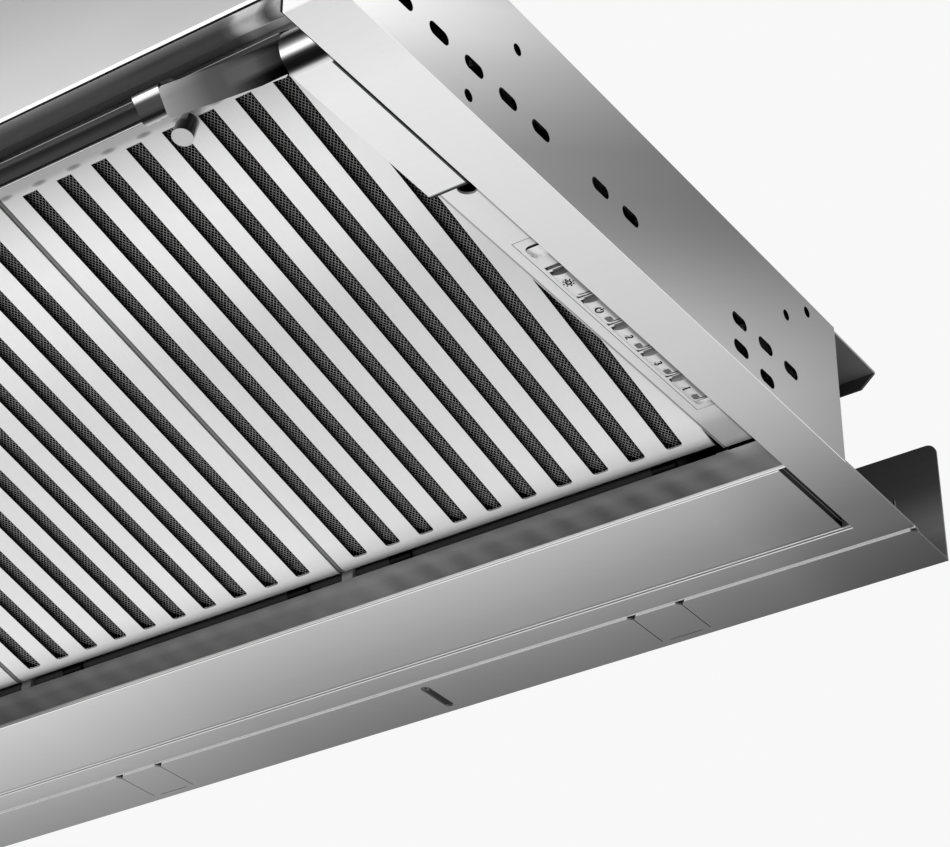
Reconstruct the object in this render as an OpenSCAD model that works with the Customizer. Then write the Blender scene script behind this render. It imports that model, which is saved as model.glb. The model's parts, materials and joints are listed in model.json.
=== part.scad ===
// Range hood insert, seen in use from below.
// X runs across the hood, Y runs from the cooking side to the wall, Z is up.
// The origin lies on the underside of the wall strip, in the middle of the footprint.

/* [Body] */
// Width over both side panels
body_w = 898; // [800:1:1000]
// Depth from the front posts to the wall strip
body_d = 451; // [445:1:500]
// Height of the side panels
side_h = 68; // [66:1:90]
// Thickness of the steel sheet
sheet = 1.2; // [1:0.1:1.4]
// Width of the rim that shows from below
rim_w = 22.5; // [20:0.5:26]
// Depth of the rear cover panel
cover_d = 60; // [50:1:66]
// Depth of the rear rail behind the cover panel
rail_d = 16.6; // [16.6:0.2:20]
// Depth of the step over the rod of the filters
step_d = 11.6; // [11:0.1:14]

/* [Side fixings] */
// Length of a fixing slot
slot_l = 11.7; // [9:0.1:14]
// Width of a fixing slot
slot_w = 5.6; // [4:0.1:7]
// Distance between fixing slots
slot_pitch = 21.3; // [18:0.1:24]
// Height of the slot row above the rim
slot_z = 21.2; // [18:0.1:26]
// Radius of a rivet hole
rivet_r = 2.5; // [1.5:0.1:3]

/* [Rear wall strip] */
// Visible depth of the wall strip
strip_leg = 33; // [30:1:40]
// Height of the fin against the wall
fin_h = 60; // [40:1:80]
// Distance that the wall strip can be pushed in
strip_travel = 14; // [6:1:14]
// Width of the pressed tongues
tongue_w = 25.7; // [15:0.1:35]

/* [Filters] */
// Length of a filter along its slope
filter_l = 260; // [250:1:264]
// Depth of a filter tray
filter_t = 8; // [7:0.5:9]
// Slope of the filters
filter_tilt = 14.8; // [14:0.1:15.4]
// Gap between neighbouring filters
filter_gap = 1; // [0.6:0.1:2]
// Slots in each filter
filter_slots = 10; // [6:1:12]
// Width of a filter slot
filter_slot_w = 7.9; // [5:0.1:9]
// Diameter of a filter knob
knob_d = 9; // [7:0.5:10]
// Length of a filter knob below the filter
knob_l = 10; // [6:0.5:14]

/* [Controls] */
// Width of the control strip
strip_w = 24.5; // [24.5:0.5:30]
// Height of the control strip above the rim
strip_z = 18.7; // [17:0.1:20]
// Distance between push buttons
button_pitch = 22.5; // [20:0.5:24]
// Length of a button cap
button_l = 17; // [12:0.5:17]
// Travel of a button
button_travel = 1.2; // [0.6:0.1:1.5]

/* [Pull-out visor] */
// Distance that the visor pulls out
visor_travel = 100; // [40:5:100]
// Radius of the rolled end of a visor arm
roll_r = 9.3; // [8:0.1:10]
// Width of a visor arm
arm_w = 16.5; // [14:0.5:18]
// Side of the square light bar
bar_s = 7.7; // [6:0.1:8]
// Side of the collar on the light bar
collar_s = 12; // [11:0.5:13]

/* [Fan] */
// Outer radius of the impeller
wheel_r = 66; // [58:1:66]
// Width of the impeller
wheel_w = 100; // [80:1:104]
// Blades of the impeller
wheel_blades = 36; // [20:1:44]
// Outer radius of the duct collar
duct_r = 75; // [60:1:75]
// Height of the duct collar
duct_h = 40; // [30:1:60]

/* [Hidden] */

// Overrun of every cut
cut = 2;
// Gap between pieces that are seated but not joined
seat = 0.3;
// Running clearance of a shaft in its bore
run = 0.05;
// Sheet of the wall strip, which hangs under the rim
strip_t = 1;
strip_drop = strip_t + run;
// Sheet of the light trim parts
trim_t = 1;
// Facets of a round
$fn = 48;

half_w = body_w / 2;
y_front = -body_d / 2;
y_back = body_d / 2;
y_rim = y_back - strip_leg;
y_rail = y_rim - rail_d;
y_wall = y_rail - cover_d;
y_side = y_wall + step_d;
rim_x = half_w - rim_w;
wall_h = 16.7;
lip_w = 12;

steel = "silver";
dark_steel = "dimgray";
black = "black";
white = "white";

// Side panel fixings: first hole of each row as a share of the wall's length, and holes in the row
slot_row_shares = [[0.101, 5], [0.457, 2], [0.753, 3]];
low_slot_shares = [0.753, 0.812];
low_slot_z = 8;
low_slot_drop = 2.8;
// Rivet holes: share of the wall's length, and share of its height
rivet_shares = [[0.3, 0.713], [0.872, 0.713], [0.212, 0.088], [0.928, 0.903]];

rail_fold_h = 6;
rail_lap = 8.5;
rail_lap_side = 3.5;
slit = 0.5;
notch = 2.4;
screw_r = 1.75;

strip_out = rim_w + 3.5;
strip_in = strip_out + strip_w;
filter_count = 4;
filter_x0 = half_w - strip_in - filter_gap;
filter_pitch = 2 * filter_x0 / filter_count;
filter_w = filter_pitch - filter_gap;
filter_wall_gap = 2;
filter_y = y_wall - filter_wall_gap;
filter_round = 6;
filter_margin = 9.3;
filter_slot_end = 11.9;
slot_side = 11.9;
slot_spacing = (filter_w - 2 * slot_side - filter_slot_w) / (filter_slots - 1);
mesh_z = 4.4;
mesh_t = 0.8;
mesh_margin = 5;
rod_r = 2;
rod_y = y_wall + 4.2;
rod_z = wall_h + 4.5;
hook_r = 4;
hook_w = 12;
hook_x = 70;
hook_t = 2;
knob_back = 12.4;
neck_r = 2.4;
nut_r = 4;
nut_h = 3;
tab_l = 11;
tab_half = 20;

// Stop angle over the front edge of the filters, drawn along their slope
magnet_t = 2;
magnet_l = 8;
magnet_half = 12;
stop_gap = 0.4;
stop_z0 = 2;
stop_z = filter_t + seat + magnet_t;
stop_l = filter_l + stop_gap + sheet;
front_y = filter_y - filter_l * cos(filter_tilt);
front_z = wall_h + filter_l * sin(filter_tilt);
stop_top = wall_h + stop_l * sin(filter_tilt) + (stop_z + sheet) * cos(filter_tilt);

strip_flange_h = 61.3;
strip_outer_h = 16.1;
strip_y0 = front_y - 12;
tab_w = 30;
tab_ys = [-85, -20, 60];
keypad_x = half_w - strip_out - 11;
keypad_w = 16;
button_y0 = -22.3;
button_w = 12;
bezel_t = 3;
bezel_wall = 1.2;
cap_round = 3;
cap_corner = 0.6;
pocket_l = 9;
drain_r = 4;
drain_x = half_w - 39;
drain_y = -94.5;

arm_gap = 0.7;
arm_t = 2 * sheet;
arm_x1 = rim_x - arm_gap;
arm_x0 = arm_x1 - arm_w;
roll_y = y_front + 28.7;
arm_l = 0.242 * body_d;
arm_back = y_front + arm_l;
post_gap = 0.7;
fascia_z0 = 11.7;
fascia_h = 83.3;
hem_r = 1.2;
slope_rise = 0.82;
slope_y0 = y_front + 2.5;
slope_y1 = front_y - 16;
slope_z0 = 13;
slope_z1 = front_z + 1;
slope_sag = 5;
riser_t = 1.2;
visor_sheet_z = ceil(10 * (stop_top + 0.5)) / 10;
visor_sheet_l = 110;
lid_gap = 3;
plate_t = 1.2;
plate_x1 = rim_x - 0.9;
plate_h = 57.5;
tail_l = 140;
rail_z0 = 43;
rail_h = 11;
channel_z0 = rail_z0 - sheet - 0.6;
channel_h = rail_h + 2 * sheet + 1.2;
channel_d = 10.8;

bar_y = roll_y - 4.1;
bar_z = 13.5;
bar_wall = 1;
collar_l = 11.7;
blade_l = 51.4;
collar_round = 2;
blade_t = 1.6;
blade_h = 11.6;
blade_turn = 4.4;
blade_y = roll_y - 4.7;
blade_z = 5.5;
lens_t = 0.5;
lens_w = 5;
lens_slot = 4;
lens_x = arm_x0 - blade_l - collar_l - seat;
led_w = 4;
led_t = 0.8;

lid_x = half_w - strip_out;
lid_z = visor_sheet_z + 2 * sheet + 2.6;
lid_y0 = y_front + 11.5;
lid_y1 = y_side - 15.5;
lid_flange = half_w - 3;
window_x0 = 65;
window_x1 = 115;
window_y0 = -60;
window_y1 = 66;

house_x = 130;
house_y0 = -75;
house_y1 = 100;
house_h = 193;
house_z = lid_z + house_h;
house_flange = 12;
duct_y = (house_y0 + house_y1) / 2;
duct_wall = 1;
duct_flange = 11;

fan_y = 7.5;
fan_z = lid_z + 0.46 * house_h;
scroll_r0 = wheel_r + 5;
scroll_grow = 17;
scroll_start = 75;
scroll_end = 360;
scroll_step = 15;
scroll_low = 270;
scroll_wall = 1.5;
scroll_w = wheel_w + 20;
scroll_top = fan_z + 84;
inlet_r = wheel_r - 14;
blade_depth = 11;
blade_sheet = 0.8;
hub_r = 12;
hub_l = 16;
shaft_r = 4;
motor_r = 36;
motor_l = wheel_w / 2 - 4;
mount_ring = 8;

damper_z = house_z + 20;
damper_gap = 1.6;
damper_t = 1;
damper_r = duct_r - duct_wall - damper_gap;
damper_pin_r = 2;
socket_l = 5;
socket_wall = 0.8;
knuckle_r = 3.6;
knuckle_w = 8;

// Every piece is drawn from the underside of the rim, then raised onto the lowest face, the wall strip
module raised() {
    translate([0, 0, strip_drop]) children();
}

// Box from its low corner to its high corner
module block(low, high) {
    translate(low) cube(high - low);
}

// Flat profile in Y and Z, drawn across X from x0 to x1
module across(x0, x1) {
    translate([x0, 0, 0]) rotate([90, 0, 90]) linear_extrude(x1 - x0) children();
}

// Round rod along X
module rod_x(x0, x1, y, z, r) {
    translate([x0, y, z]) rotate([0, 90, 0]) cylinder(r = r, h = x1 - x0);
}

// Corner points of a rectangle with rounded corners
function round_corner(x, y, r, a, n) =
    [for (i = [0:n]) [x + r * cos(a + 90 * i / n), y + r * sin(a + 90 * i / n)]];
function round_box(x0, y0, x1, y1, r, n = 3) = concat(
    round_corner(x1 - r, y1 - r, r, 0, n), round_corner(x0 + r, y1 - r, r, 90, n),
    round_corner(x0 + r, y0 + r, r, 180, n), round_corner(x1 - r, y0 + r, r, 270, n));

// Slot through a side wall, long along Y
module wall_slot(y, z) {
    reach = (slot_l - slot_w) / 2;
    for (s = [-1, 1])
        rod_x(half_w - sheet - cut, half_w + cut, y + s * reach, z, slot_w / 2);
    block([half_w - sheet - cut, y - reach, z - slot_w / 2], [half_w + cut, y + reach, z + slot_w / 2]);
}

// Folded side sheet: wall with fixing holes, front post and top lip
module side_sheet() {
    wall_l = y_side - y_front;
    difference() {
        union() {
            block([half_w - sheet, y_front, 0], [half_w, y_side, side_h]);
            block([rim_x, y_front, 0], [half_w, y_front + sheet, side_h]);
            block([half_w - lip_w, y_front, side_h - sheet], [half_w, y_side, side_h]);
        }
        for (row = slot_row_shares)
            for (i = [0:row[1] - 1])
                wall_slot(y_front + row[0] * wall_l + i * slot_pitch, slot_z);
        for (i = [0:len(low_slot_shares) - 1])
            wall_slot(y_front + low_slot_shares[i] * wall_l, low_slot_z - i * low_slot_drop);
        for (hole = rivet_shares)
            rod_x(half_w - sheet - cut, half_w + cut, y_front + hole[0] * wall_l, hole[1] * side_h,
                rivet_r);
    }
}

module side_panel_right() {
    color(steel) side_sheet();
}

module side_panel_left() {
    color(steel) mirror([1, 0, 0]) side_sheet();
}

// Rim under each side, joined at the back by a folded rail that the wall strip slides under
module bottom_frame() {
    color(steel) {
        for (s = [0, 1]) mirror([s, 0, 0]) {
            block([rim_x, y_front + sheet, 0], [half_w - sheet, y_side, sheet]);
            block([rim_x, y_side, 0], [half_w, y_rail, sheet]);
        }
        difference() {
            linear_extrude(sheet) polygon([
                [-half_w, y_rail], [half_w, y_rail], [half_w, y_rim + rail_lap_side],
                [half_w - rail_lap, y_rim + rail_lap], [-half_w + rail_lap, y_rim + rail_lap],
                [-half_w, y_rim + rail_lap_side]]);
            for (x = strip_screw_xs) translate([x, strip_screw_y, -cut])
                cylinder(r = strip_screw_r + run, h = 2 * cut + sheet);
        }
        block([-half_w + sheet, y_rail, 0], [half_w - sheet, y_rail + sheet, rail_fold_h]);
    }
}

// Rear wall of the collector, stepped back above the filters, with the eyes of the filter rod
module rear_wall() {
    color(steel) {
        block([-rim_x, y_wall, 0], [rim_x, y_wall + sheet, wall_h]);
        block([-half_w + sheet, y_wall, sheet], [half_w - sheet, y_wall + sheet, wall_h]);
        block([-half_w + sheet, y_wall, wall_h - sheet], [half_w - sheet, y_side, wall_h]);
        block([-half_w + sheet, y_side - sheet, wall_h - sheet],
            [half_w - sheet, y_side, side_h - sheet]);
        block([-half_w + lip_w, y_side - lip_w, side_h - sheet], [half_w - lip_w, y_side, side_h]);
        for (i = [0:filter_count]) rod_eye(-filter_x0 + i * filter_pitch);
    }
}

rod_eye_w = 6;
module rod_eye(x) {
    difference() {
        block([x - rod_eye_w / 2, rod_y - hook_r, wall_h],
            [x + rod_eye_w / 2, rod_y + hook_r, rod_z + hook_r]);
        rod_x(x - rod_eye_w, x + rod_eye_w, rod_y, rod_z, rod_r + run);
    }
}

// Rod that the filters hang on
module filter_rod() {
    color(steel) rod_x(-filter_x0 - rod_eye_w / 2, filter_x0 + rod_eye_w / 2, rod_y, rod_z, rod_r);
}

// Cover tray between the rear wall and the rear rail
cover_in = 26.5;
cover_edge_h = 9;
module rear_cover_panel() {
    x = half_w - cover_in;
    y0 = y_wall + sheet + seat;
    y1 = y_rail - seat;
    color(steel) {
        block([-x, y0, 0], [x, y1, sheet]);
        block([-x, y0, 0], [x, y0 + trim_t, cover_edge_h]);
        block([-x, y1 - trim_t, 0], [x, y1, cover_edge_h]);
        for (m = [0, 1]) mirror([m, 0, 0]) block([x - trim_t, y0, 0], [x, y1, cover_edge_h]);
    }
}

// Rail behind the body that hooks over the wall batten
hang_d = 39;
hang_drop = 6;
hang_chamfer = 7;
module rear_hanging_rail() {
    x = half_w - seat;
    z = side_h - 2 * sheet;
    color(dark_steel) {
        block([-x, y_side, z], [x, y_side + hang_d, z + sheet]);
        block([-x, y_side, z - 2 * hang_drop], [x, y_side + sheet, z]);
        translate([0, y_side + hang_d, 0]) rotate([90, 0, 0]) linear_extrude(sheet)
            polygon([[-x, z], [-x + hang_chamfer, z - hang_drop],
                [x - hang_chamfer, z - hang_drop], [x, z]]);
    }
}

// Places of the strip's stop screws, tongues and hooks, as shares of the strip's width
strip_screw_shares = [-0.2064, 0.2064];
tongue_shares = [-0.332, 0.011, 0.354];
hook_shares = [-0.42, -0.1, 0.1, 0.42];
strip_screw_xs = [for (s = strip_screw_shares) s * body_w];
strip_screw_r = 1.2;
strip_head_r = 1.9;
strip_head_h = 0.9;
strip_nut_r = 2.8;
strip_nut_h = 2.2;
strip_slot_w = 4.6;
strip_screw_y = y_rim + 6.1;
strip_slot_back = 7;
strip_hook_w = 12;
strip_hook_y = y_rim + rail_lap + strip_travel + 1;
tongue_back = 5;

// Sliding strip that closes the gap to the wall: a slotted leg with hooks over the rail, and a tall fin
module wall_strip() {
    top = strip_t - strip_drop;
    color(steel) {
        difference() {
            union() {
                translate([0, 0, -strip_drop]) linear_extrude(strip_t) polygon([
                    [-half_w + notch, y_rim], [half_w - notch, y_rim], [half_w, y_rim + notch],
                    [half_w, y_back], [-half_w, y_back], [-half_w, y_rim + notch]]);
                block([-half_w, y_back - strip_t, -strip_drop], [half_w, y_back, fin_h]);
            }
            for (x = strip_screw_xs) {
                block([x - strip_slot_w / 2, strip_screw_y, -strip_drop - cut],
                    [x + strip_slot_w / 2, y_back - strip_slot_back, top + cut]);
                for (y = [strip_screw_y, y_back - strip_slot_back]) translate([x, y, -strip_drop - cut])
                    cylinder(r = strip_slot_w / 2, h = strip_t + 2 * cut);
            }
            for (s = tongue_shares) translate([s * body_w, 0, 0]) tongue_slits();
            for (m = [0, 1]) mirror([m, 0, 0]) fin_corner();
        }
        for (s = hook_shares) translate([s * body_w, 0, 0]) strip_hook();
    }
}

// Hook on the wall strip that reaches forward over the rail
module strip_hook() {
    z = sheet + run;
    block([-strip_hook_w / 2, strip_hook_y, -strip_drop], [strip_hook_w / 2, strip_hook_y + strip_t, z]);
    block([-strip_hook_w / 2, y_rim + rail_lap_side, z],
        [strip_hook_w / 2, strip_hook_y + strip_t, z + strip_t]);
}

// Slits round one pressed tongue, with a notch in the strip's edge at each
module tongue_slits() {
    for (m = [0, 1]) mirror([m, 0, 0]) translate([tongue_w / 2, 0, -strip_drop - cut])
        linear_extrude(strip_t + 2 * cut) {
            translate([-slit / 2, y_rim]) square([slit, strip_leg - tongue_back]);
            polygon([[-notch - cut, y_rim - cut], [notch + cut, y_rim - cut], [0, y_rim + notch]]);
        }
    block([-tongue_w / 3, y_back - tongue_back, -strip_drop - cut],
        [tongue_w / 3, y_back - tongue_back + slit, strip_t + cut - strip_drop]);
}

// Round at the top corner of the fin
fin_round = 5;
module fin_corner() {
    translate([half_w - fin_round, y_back - strip_t - cut, fin_h - fin_round]) difference() {
        cube([fin_round + cut, strip_t + 2 * cut, fin_round + cut]);
        translate([0, -cut, 0]) rotate([-90, 0, 0]) cylinder(r = fin_round, h = strip_t + 4 * cut);
    }
}

// Stop screws in the rail: their heads run in the slots of the wall strip
module strip_screws() {
    color(dark_steel) for (x = strip_screw_xs) translate([x, strip_screw_y, 0]) {
        translate([0, 0, -strip_head_h]) cylinder(r = strip_head_r, h = strip_head_h);
        cylinder(r = strip_screw_r, h = sheet + strip_nut_h);
        translate([0, 0, sheet]) cylinder(r = strip_nut_r, h = strip_nut_h, $fn = 6);
    }
}

// Raised top of the collector with two air windows under the fan
module top_cover() {
    color(steel) {
        difference() {
            block([-lid_x, lid_y0, lid_z - sheet], [lid_x, lid_y1, lid_z]);
            for (m = [0, 1]) mirror([m, 0, 0])
                block([window_x0, window_y0, lid_z - sheet - cut], [window_x1, window_y1, lid_z + cut]);
        }
        for (m = [0, 1]) mirror([m, 0, 0]) {
            block([lid_x - sheet, lid_y0, side_h], [lid_x, lid_y1, lid_z - sheet]);
            block([lid_x, lid_y0, side_h], [lid_flange, lid_y1, side_h + sheet]);
            lid_rib();
        }
        block([-lid_x, lid_y1 - sheet, side_h], [lid_x, lid_y1, lid_z - sheet]);
        block([-lid_flange, lid_y1, side_h], [lid_flange, y_side, side_h + sheet]);
    }
}

// Pressed stiffening rib on the top cover
rib_w = 10;
rib_h = 2;
module lid_rib() {
    x0 = house_x + 3 * rib_w;
    for (y = [lid_y0 + 4 * rib_w, lid_y1 - 4 * rib_w])
        across(x0, term_x - rib_w) polygon([
            [y - rib_w / 2, lid_z], [y + rib_w / 2, lid_z], [y + rib_w / 4, lid_z + rib_h],
            [y - rib_w / 4, lid_z + rib_h]]);
}

// Stop angle across the front of the filters, with a shelf over their front edge
module filter_ledge() {
    x = lid_x - sheet;
    color(steel) filter_frame() {
        block([-x, -stop_l, stop_z0], [x, -stop_l + sheet, stop_z + sheet]);
        block([-x, -stop_l, stop_z], [x, -filter_l + tab_l, stop_z + sheet]);
    }
}

// Block magnets under the shelf that hold the filters up
module filter_magnets() {
    color("dimgray") for (n = [1:filter_count]) filter_place(n)
        block([-magnet_half, -filter_l + trim_t, stop_z - magnet_t],
            [magnet_half, -filter_l + trim_t + magnet_l, stop_z]);
}

// Folded channel beside the filters, open to the keypad on the right
module strip_channel(keypad) {
    x0 = half_w - strip_in;
    x1 = half_w - strip_out;
    difference() {
        union() {
            block([x0, strip_y0, strip_z], [x1, y_wall, strip_z + sheet]);
            block([x0, strip_y0, strip_z], [x0 + sheet, y_wall, strip_z + strip_flange_h]);
            block([x1 - sheet, strip_y0, strip_z], [x1, y_wall, strip_z + strip_outer_h + sheet]);
            for (y = tab_ys) block([x1, y, strip_z + strip_outer_h],
                [half_w - sheet, y + tab_w, strip_z + strip_outer_h + sheet]);
        }
        translate([drain_x, drain_y, strip_z - cut]) cylinder(r = drain_r, h = sheet + 2 * cut);
        block([x0 - cut, lid_y1 - sheet - seat, side_h - sheet - seat],
            [x0 + sheet + cut, y_wall + cut, strip_z + strip_flange_h + cut]);
        if (keypad) block([keypad_x - keypad_w / 2, keypad_y0, strip_z - cut],
            [keypad_x + keypad_w / 2, keypad_y1, strip_z + sheet + cut]);
    }
}

keypad_y0 = button_y0 - 1.5 * button_pitch;
keypad_y1 = button_y0 + 4.72 * button_pitch;

module control_strip() {
    color(steel) strip_channel(true);
}

module blank_strip() {
    color(steel) mirror([1, 0, 0]) strip_channel(false);
}

// Moulded frame round the buttons, with a bare window in front and a pocket at the back
key_rib = 1.4;
key_pit = 1.8;
button_gap = button_pitch - button_l;
module keypad_bezel() {
    x0 = keypad_x - keypad_w / 2 + seat;
    x1 = keypad_x + keypad_w / 2 - seat;
    flange = 1.2;
    color("gainsboro") difference() {
        union() {
            block([x0, keypad_y0 + seat, strip_z], [x1, keypad_y1 - seat, strip_z + bezel_t]);
            block([x0 - flange, keypad_y0 - flange, strip_z + sheet],
                [x1 + flange, keypad_y1 + flange, strip_z + bezel_t]);
        }
        for (i = [0:4]) translate([keypad_x, button_y0 + i * button_pitch, strip_z - cut])
            linear_extrude(bezel_t + 2 * cut)
                polygon(round_box(-button_w / 2 - seat / 2, -button_l / 2 - seat / 2,
                    button_w / 2 + seat / 2, button_l / 2 + seat / 2, cap_corner));
        for (i = [0:4]) translate([keypad_x, button_y0 + (i - 0.5) * button_pitch, strip_z])
            for (m = [0, 1]) mirror([0, m, 0])
                block([-button_w / 2, key_rib / 2, -cut], [button_w / 2, button_gap / 2, key_pit]);
        for (y = [keypad_y0 + pocket_l, keypad_y1 - pocket_l * 0.75])
            translate([keypad_x, y, strip_z - cut]) linear_extrude(cut + bezel_wall)
                polygon(round_box(-button_w / 2, -pocket_l / 2, button_w / 2, pocket_l / 2, cap_round));
    }
}

// Cap of one push button, domed across its width
button_proud = 1.4;
stem_r = 2;
cap_h = button_proud + bezel_t;
cap_rim = 1;
cap_rim_t = 0.8;
stem_h = button_travel + cap_rim_t + seat;
module button_cap(i) {
    translate([keypad_x, button_y0 + i * button_pitch, strip_z - button_proud]) {
        intersection() {
            linear_extrude(cap_h)
                polygon(round_box(-button_w / 2, -button_l / 2, button_w / 2, button_l / 2, cap_corner));
            translate([0, -button_l, dome_r]) rotate([-90, 0, 0]) cylinder(r = dome_r, h = 2 * button_l);
        }
        translate([0, 0, cap_h]) linear_extrude(cap_rim_t)
            polygon(round_box(-button_w / 2 - cap_rim, -button_l / 2 - cap_rim,
                button_w / 2 + cap_rim, button_l / 2 + cap_rim, cap_corner));
        translate([0, 0, cap_h]) cylinder(r = stem_r, h = stem_h);
    }
}
dome_r = 1.2 * button_w;
stem_top = strip_z - button_proud + cap_h + stem_h;

module button_light() { color("gainsboro") button_cap(0); }
module button_power() { color("gainsboro") button_cap(1); }
module button_two() { color("gainsboro") button_cap(2); }
module button_three() { color("gainsboro") button_cap(3); }
module button_boost() { color("gainsboro") button_cap(4); }

// Switch board over the buttons, with one sprung plunger over each stem
board_t = 1.6;
switch_s = 6;
switch_h = 3.5;
board_z = stem_top + seat + button_travel + switch_h;
module switch_board() {
    color("darkgreen") {
        block([keypad_x - keypad_w / 2, keypad_y0, board_z],
            [keypad_x + keypad_w / 2, keypad_y1, board_z + board_t]);
        for (i = [0:4]) translate([keypad_x, button_y0 + i * button_pitch, board_z]) {
            translate([-switch_s / 2, -switch_s / 2, -switch_h]) cube([switch_s, switch_s, switch_h]);
        }
    }
}

// Box over the switch board, standing on the bezel's flange
box_wall = 1.2;
module control_box() {
    x0 = keypad_x - keypad_w / 2 - seat - box_wall;
    x1 = keypad_x + keypad_w / 2 + seat + box_wall;
    y0 = keypad_y0 - seat - box_wall;
    y1 = keypad_y1 + seat + box_wall;
    z1 = board_z + board_t + box_wall;
    color("dimgray") difference() {
        block([x0, y0, strip_z + bezel_t], [x1, y1, z1]);
        block([x0 + box_wall, y0 + box_wall, strip_z + bezel_t - cut],
            [x1 - box_wall, y1 - box_wall, z1 - box_wall]);
    }
}

// Frame of the filters: origin at their rear edge, sloping up to the front
module filter_frame() {
    translate([0, filter_y, wall_h]) rotate([-filter_tilt, 0, 0]) children();
}

// Puts a piece of filter number n in place
function filter_x(n) = (n - (filter_count + 1) / 2) * filter_pitch;
module filter_place(n) {
    translate([filter_x(n), 0, 0]) filter_frame() children();
}

// Slotted tray: folded sides, rounded rear edge, tab for the magnet and two hooks for the rod
module filter_tray(n) {
    slot_l0 = filter_l - filter_margin - filter_slot_end;
    color(steel) {
        filter_place(n) difference() {
            across(-filter_w / 2, filter_w / 2) polygon(concat(
                [[-filter_l, 0]], round_corner(-filter_round, filter_round, filter_round, -90, 6),
                [[0, filter_t], [-filter_l, filter_t]]));
            across(-filter_w / 2 + trim_t, filter_w / 2 - trim_t) polygon(concat(
                [[-filter_l + trim_t, trim_t]],
                round_corner(-filter_round, filter_round, filter_round - trim_t, -90, 6),
                [[-trim_t, filter_t + cut], [-filter_l + trim_t, filter_t + cut]]));
            for (i = [0:filter_slots - 1]) {
                x = (i - (filter_slots - 1) / 2) * slot_spacing;
                r = filter_slot_w / 5;
                translate([x, -filter_margin, -cut]) linear_extrude(trim_t + 2 * cut)
                    polygon(concat(round_corner(filter_slot_w / 2 - r, -r, r, 0, 4),
                        round_corner(r - filter_slot_w / 2, -r, r, 90, 4),
                        [[-filter_slot_w / 2, -slot_l0], [filter_slot_w / 2, -slot_l0]]));
            }
            translate([0, -filter_l + knob_back, -cut]) cylinder(r = neck_r + seat, h = trim_t + 2 * cut);
        }
        filter_place(n) block([-tab_half, -filter_l, filter_t - trim_t],
            [tab_half, -filter_l + tab_l, filter_t]);
        for (s = [-1, 1]) translate([filter_x(n) + s * hook_x, 0, 0]) filter_hook();
    }
}

// Eye on the back of a filter that turns on the rod
module filter_hook() {
    difference() {
        union() {
            rod_x(-hook_w / 2, hook_w / 2, rod_y, rod_z, hook_r);
            block([-hook_w / 2, filter_y + seat, rod_z], [hook_w / 2, rod_y, rod_z + hook_t]);
        }
        rod_x(-hook_w, hook_w, rod_y, rod_z, rod_r + run);
    }
}

// Fine mesh inside a tray
module filter_mesh(n) {
    color(black) filter_place(n)
        block([-filter_w / 2 + trim_t, -filter_l + mesh_margin, mesh_z],
            [filter_w / 2 - trim_t, -mesh_margin, mesh_z + mesh_t]);
}

// Knob of a filter: the neck goes through the tray and is held by a nut
module filter_knob(n) {
    color(steel) filter_place(n) translate([0, -filter_l + knob_back, 0]) {
        cylinder(r = neck_r, h = trim_t + nut_h);
        translate([0, 0, -knob_l]) cylinder(r = knob_d / 2, h = knob_l);
        translate([0, 0, trim_t]) cylinder(r = nut_r, h = nut_h, $fn = 6);
    }
}

module filter_1_tray() { filter_tray(1); }
module filter_2_tray() { filter_tray(2); }
module filter_3_tray() { filter_tray(3); }
module filter_4_tray() { filter_tray(4); }
module filter_1_mesh() { filter_mesh(1); }
module filter_2_mesh() { filter_mesh(2); }
module filter_3_mesh() { filter_mesh(3); }
module filter_4_mesh() { filter_mesh(4); }
module filter_1_knob() { filter_knob(1); }
module filter_2_knob() { filter_knob(2); }
module filter_3_knob() { filter_knob(3); }
module filter_4_knob() { filter_knob(4); }

// Front panel of the visor with a rolled lower edge
module visor_fascia() {
    x = rim_x - post_gap;
    color(steel) {
        block([-x, y_front, fascia_z0 + hem_r], [x, y_front + sheet, fascia_z0 + fascia_h]);
        rod_x(-x, x, y_front + hem_r, fascia_z0 + hem_r, hem_r);
    }
}

// Curved glossy panel from the fascia up to the filters, with the riser of the deflector sheet
module visor_slope() {
    chord = sqrt(pow(slope_y1 - slope_y0, 2) + pow(slope_z1 - slope_z0, 2));
    bend_r = chord * chord / (8 * slope_sag) + slope_sag / 2;
    tilt = atan2(slope_z1 - slope_z0, slope_y1 - slope_y0);
    wide = plate_x1 - plate_t;
    narrow = lid_x - sheet - lid_gap;
    color(dark_steel) {
        intersection() {
            translate([0, (slope_y0 + slope_y1) / 2, (slope_z0 + slope_z1) / 2]) rotate([tilt, 0, 0])
                translate([-wide, 0, bend_r - slope_sag]) rotate([0, 90, 0]) difference() {
                    cylinder(r = bend_r, h = 2 * wide, $fn = 200);
                    translate([0, 0, -cut]) cylinder(r = bend_r - trim_t, h = 2 * wide + 2 * cut, $fn = 200);
                }
            union() {
                block([-wide, slope_y0, slope_z0 - slope_sag], [wide, slope_y1, side_h - 2 * sheet]);
                block([-narrow, slope_y0, side_h - 3 * sheet], [narrow, slope_y1, visor_sheet_z]);
            }
        }
        block([-narrow, slope_y1 - riser_t, slope_z1 - riser_t], [narrow, slope_y1, visor_sheet_z]);
    }
}

// Flat sheet over the filters' front that keeps the hood closed when the visor is out
module visor_sheet() {
    x = lid_x - sheet - lid_gap;
    color(steel) block([-x, slope_y1 - riser_t, visor_sheet_z],
        [x, slope_y1 + visor_sheet_l, visor_sheet_z + sheet]);
}

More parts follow.
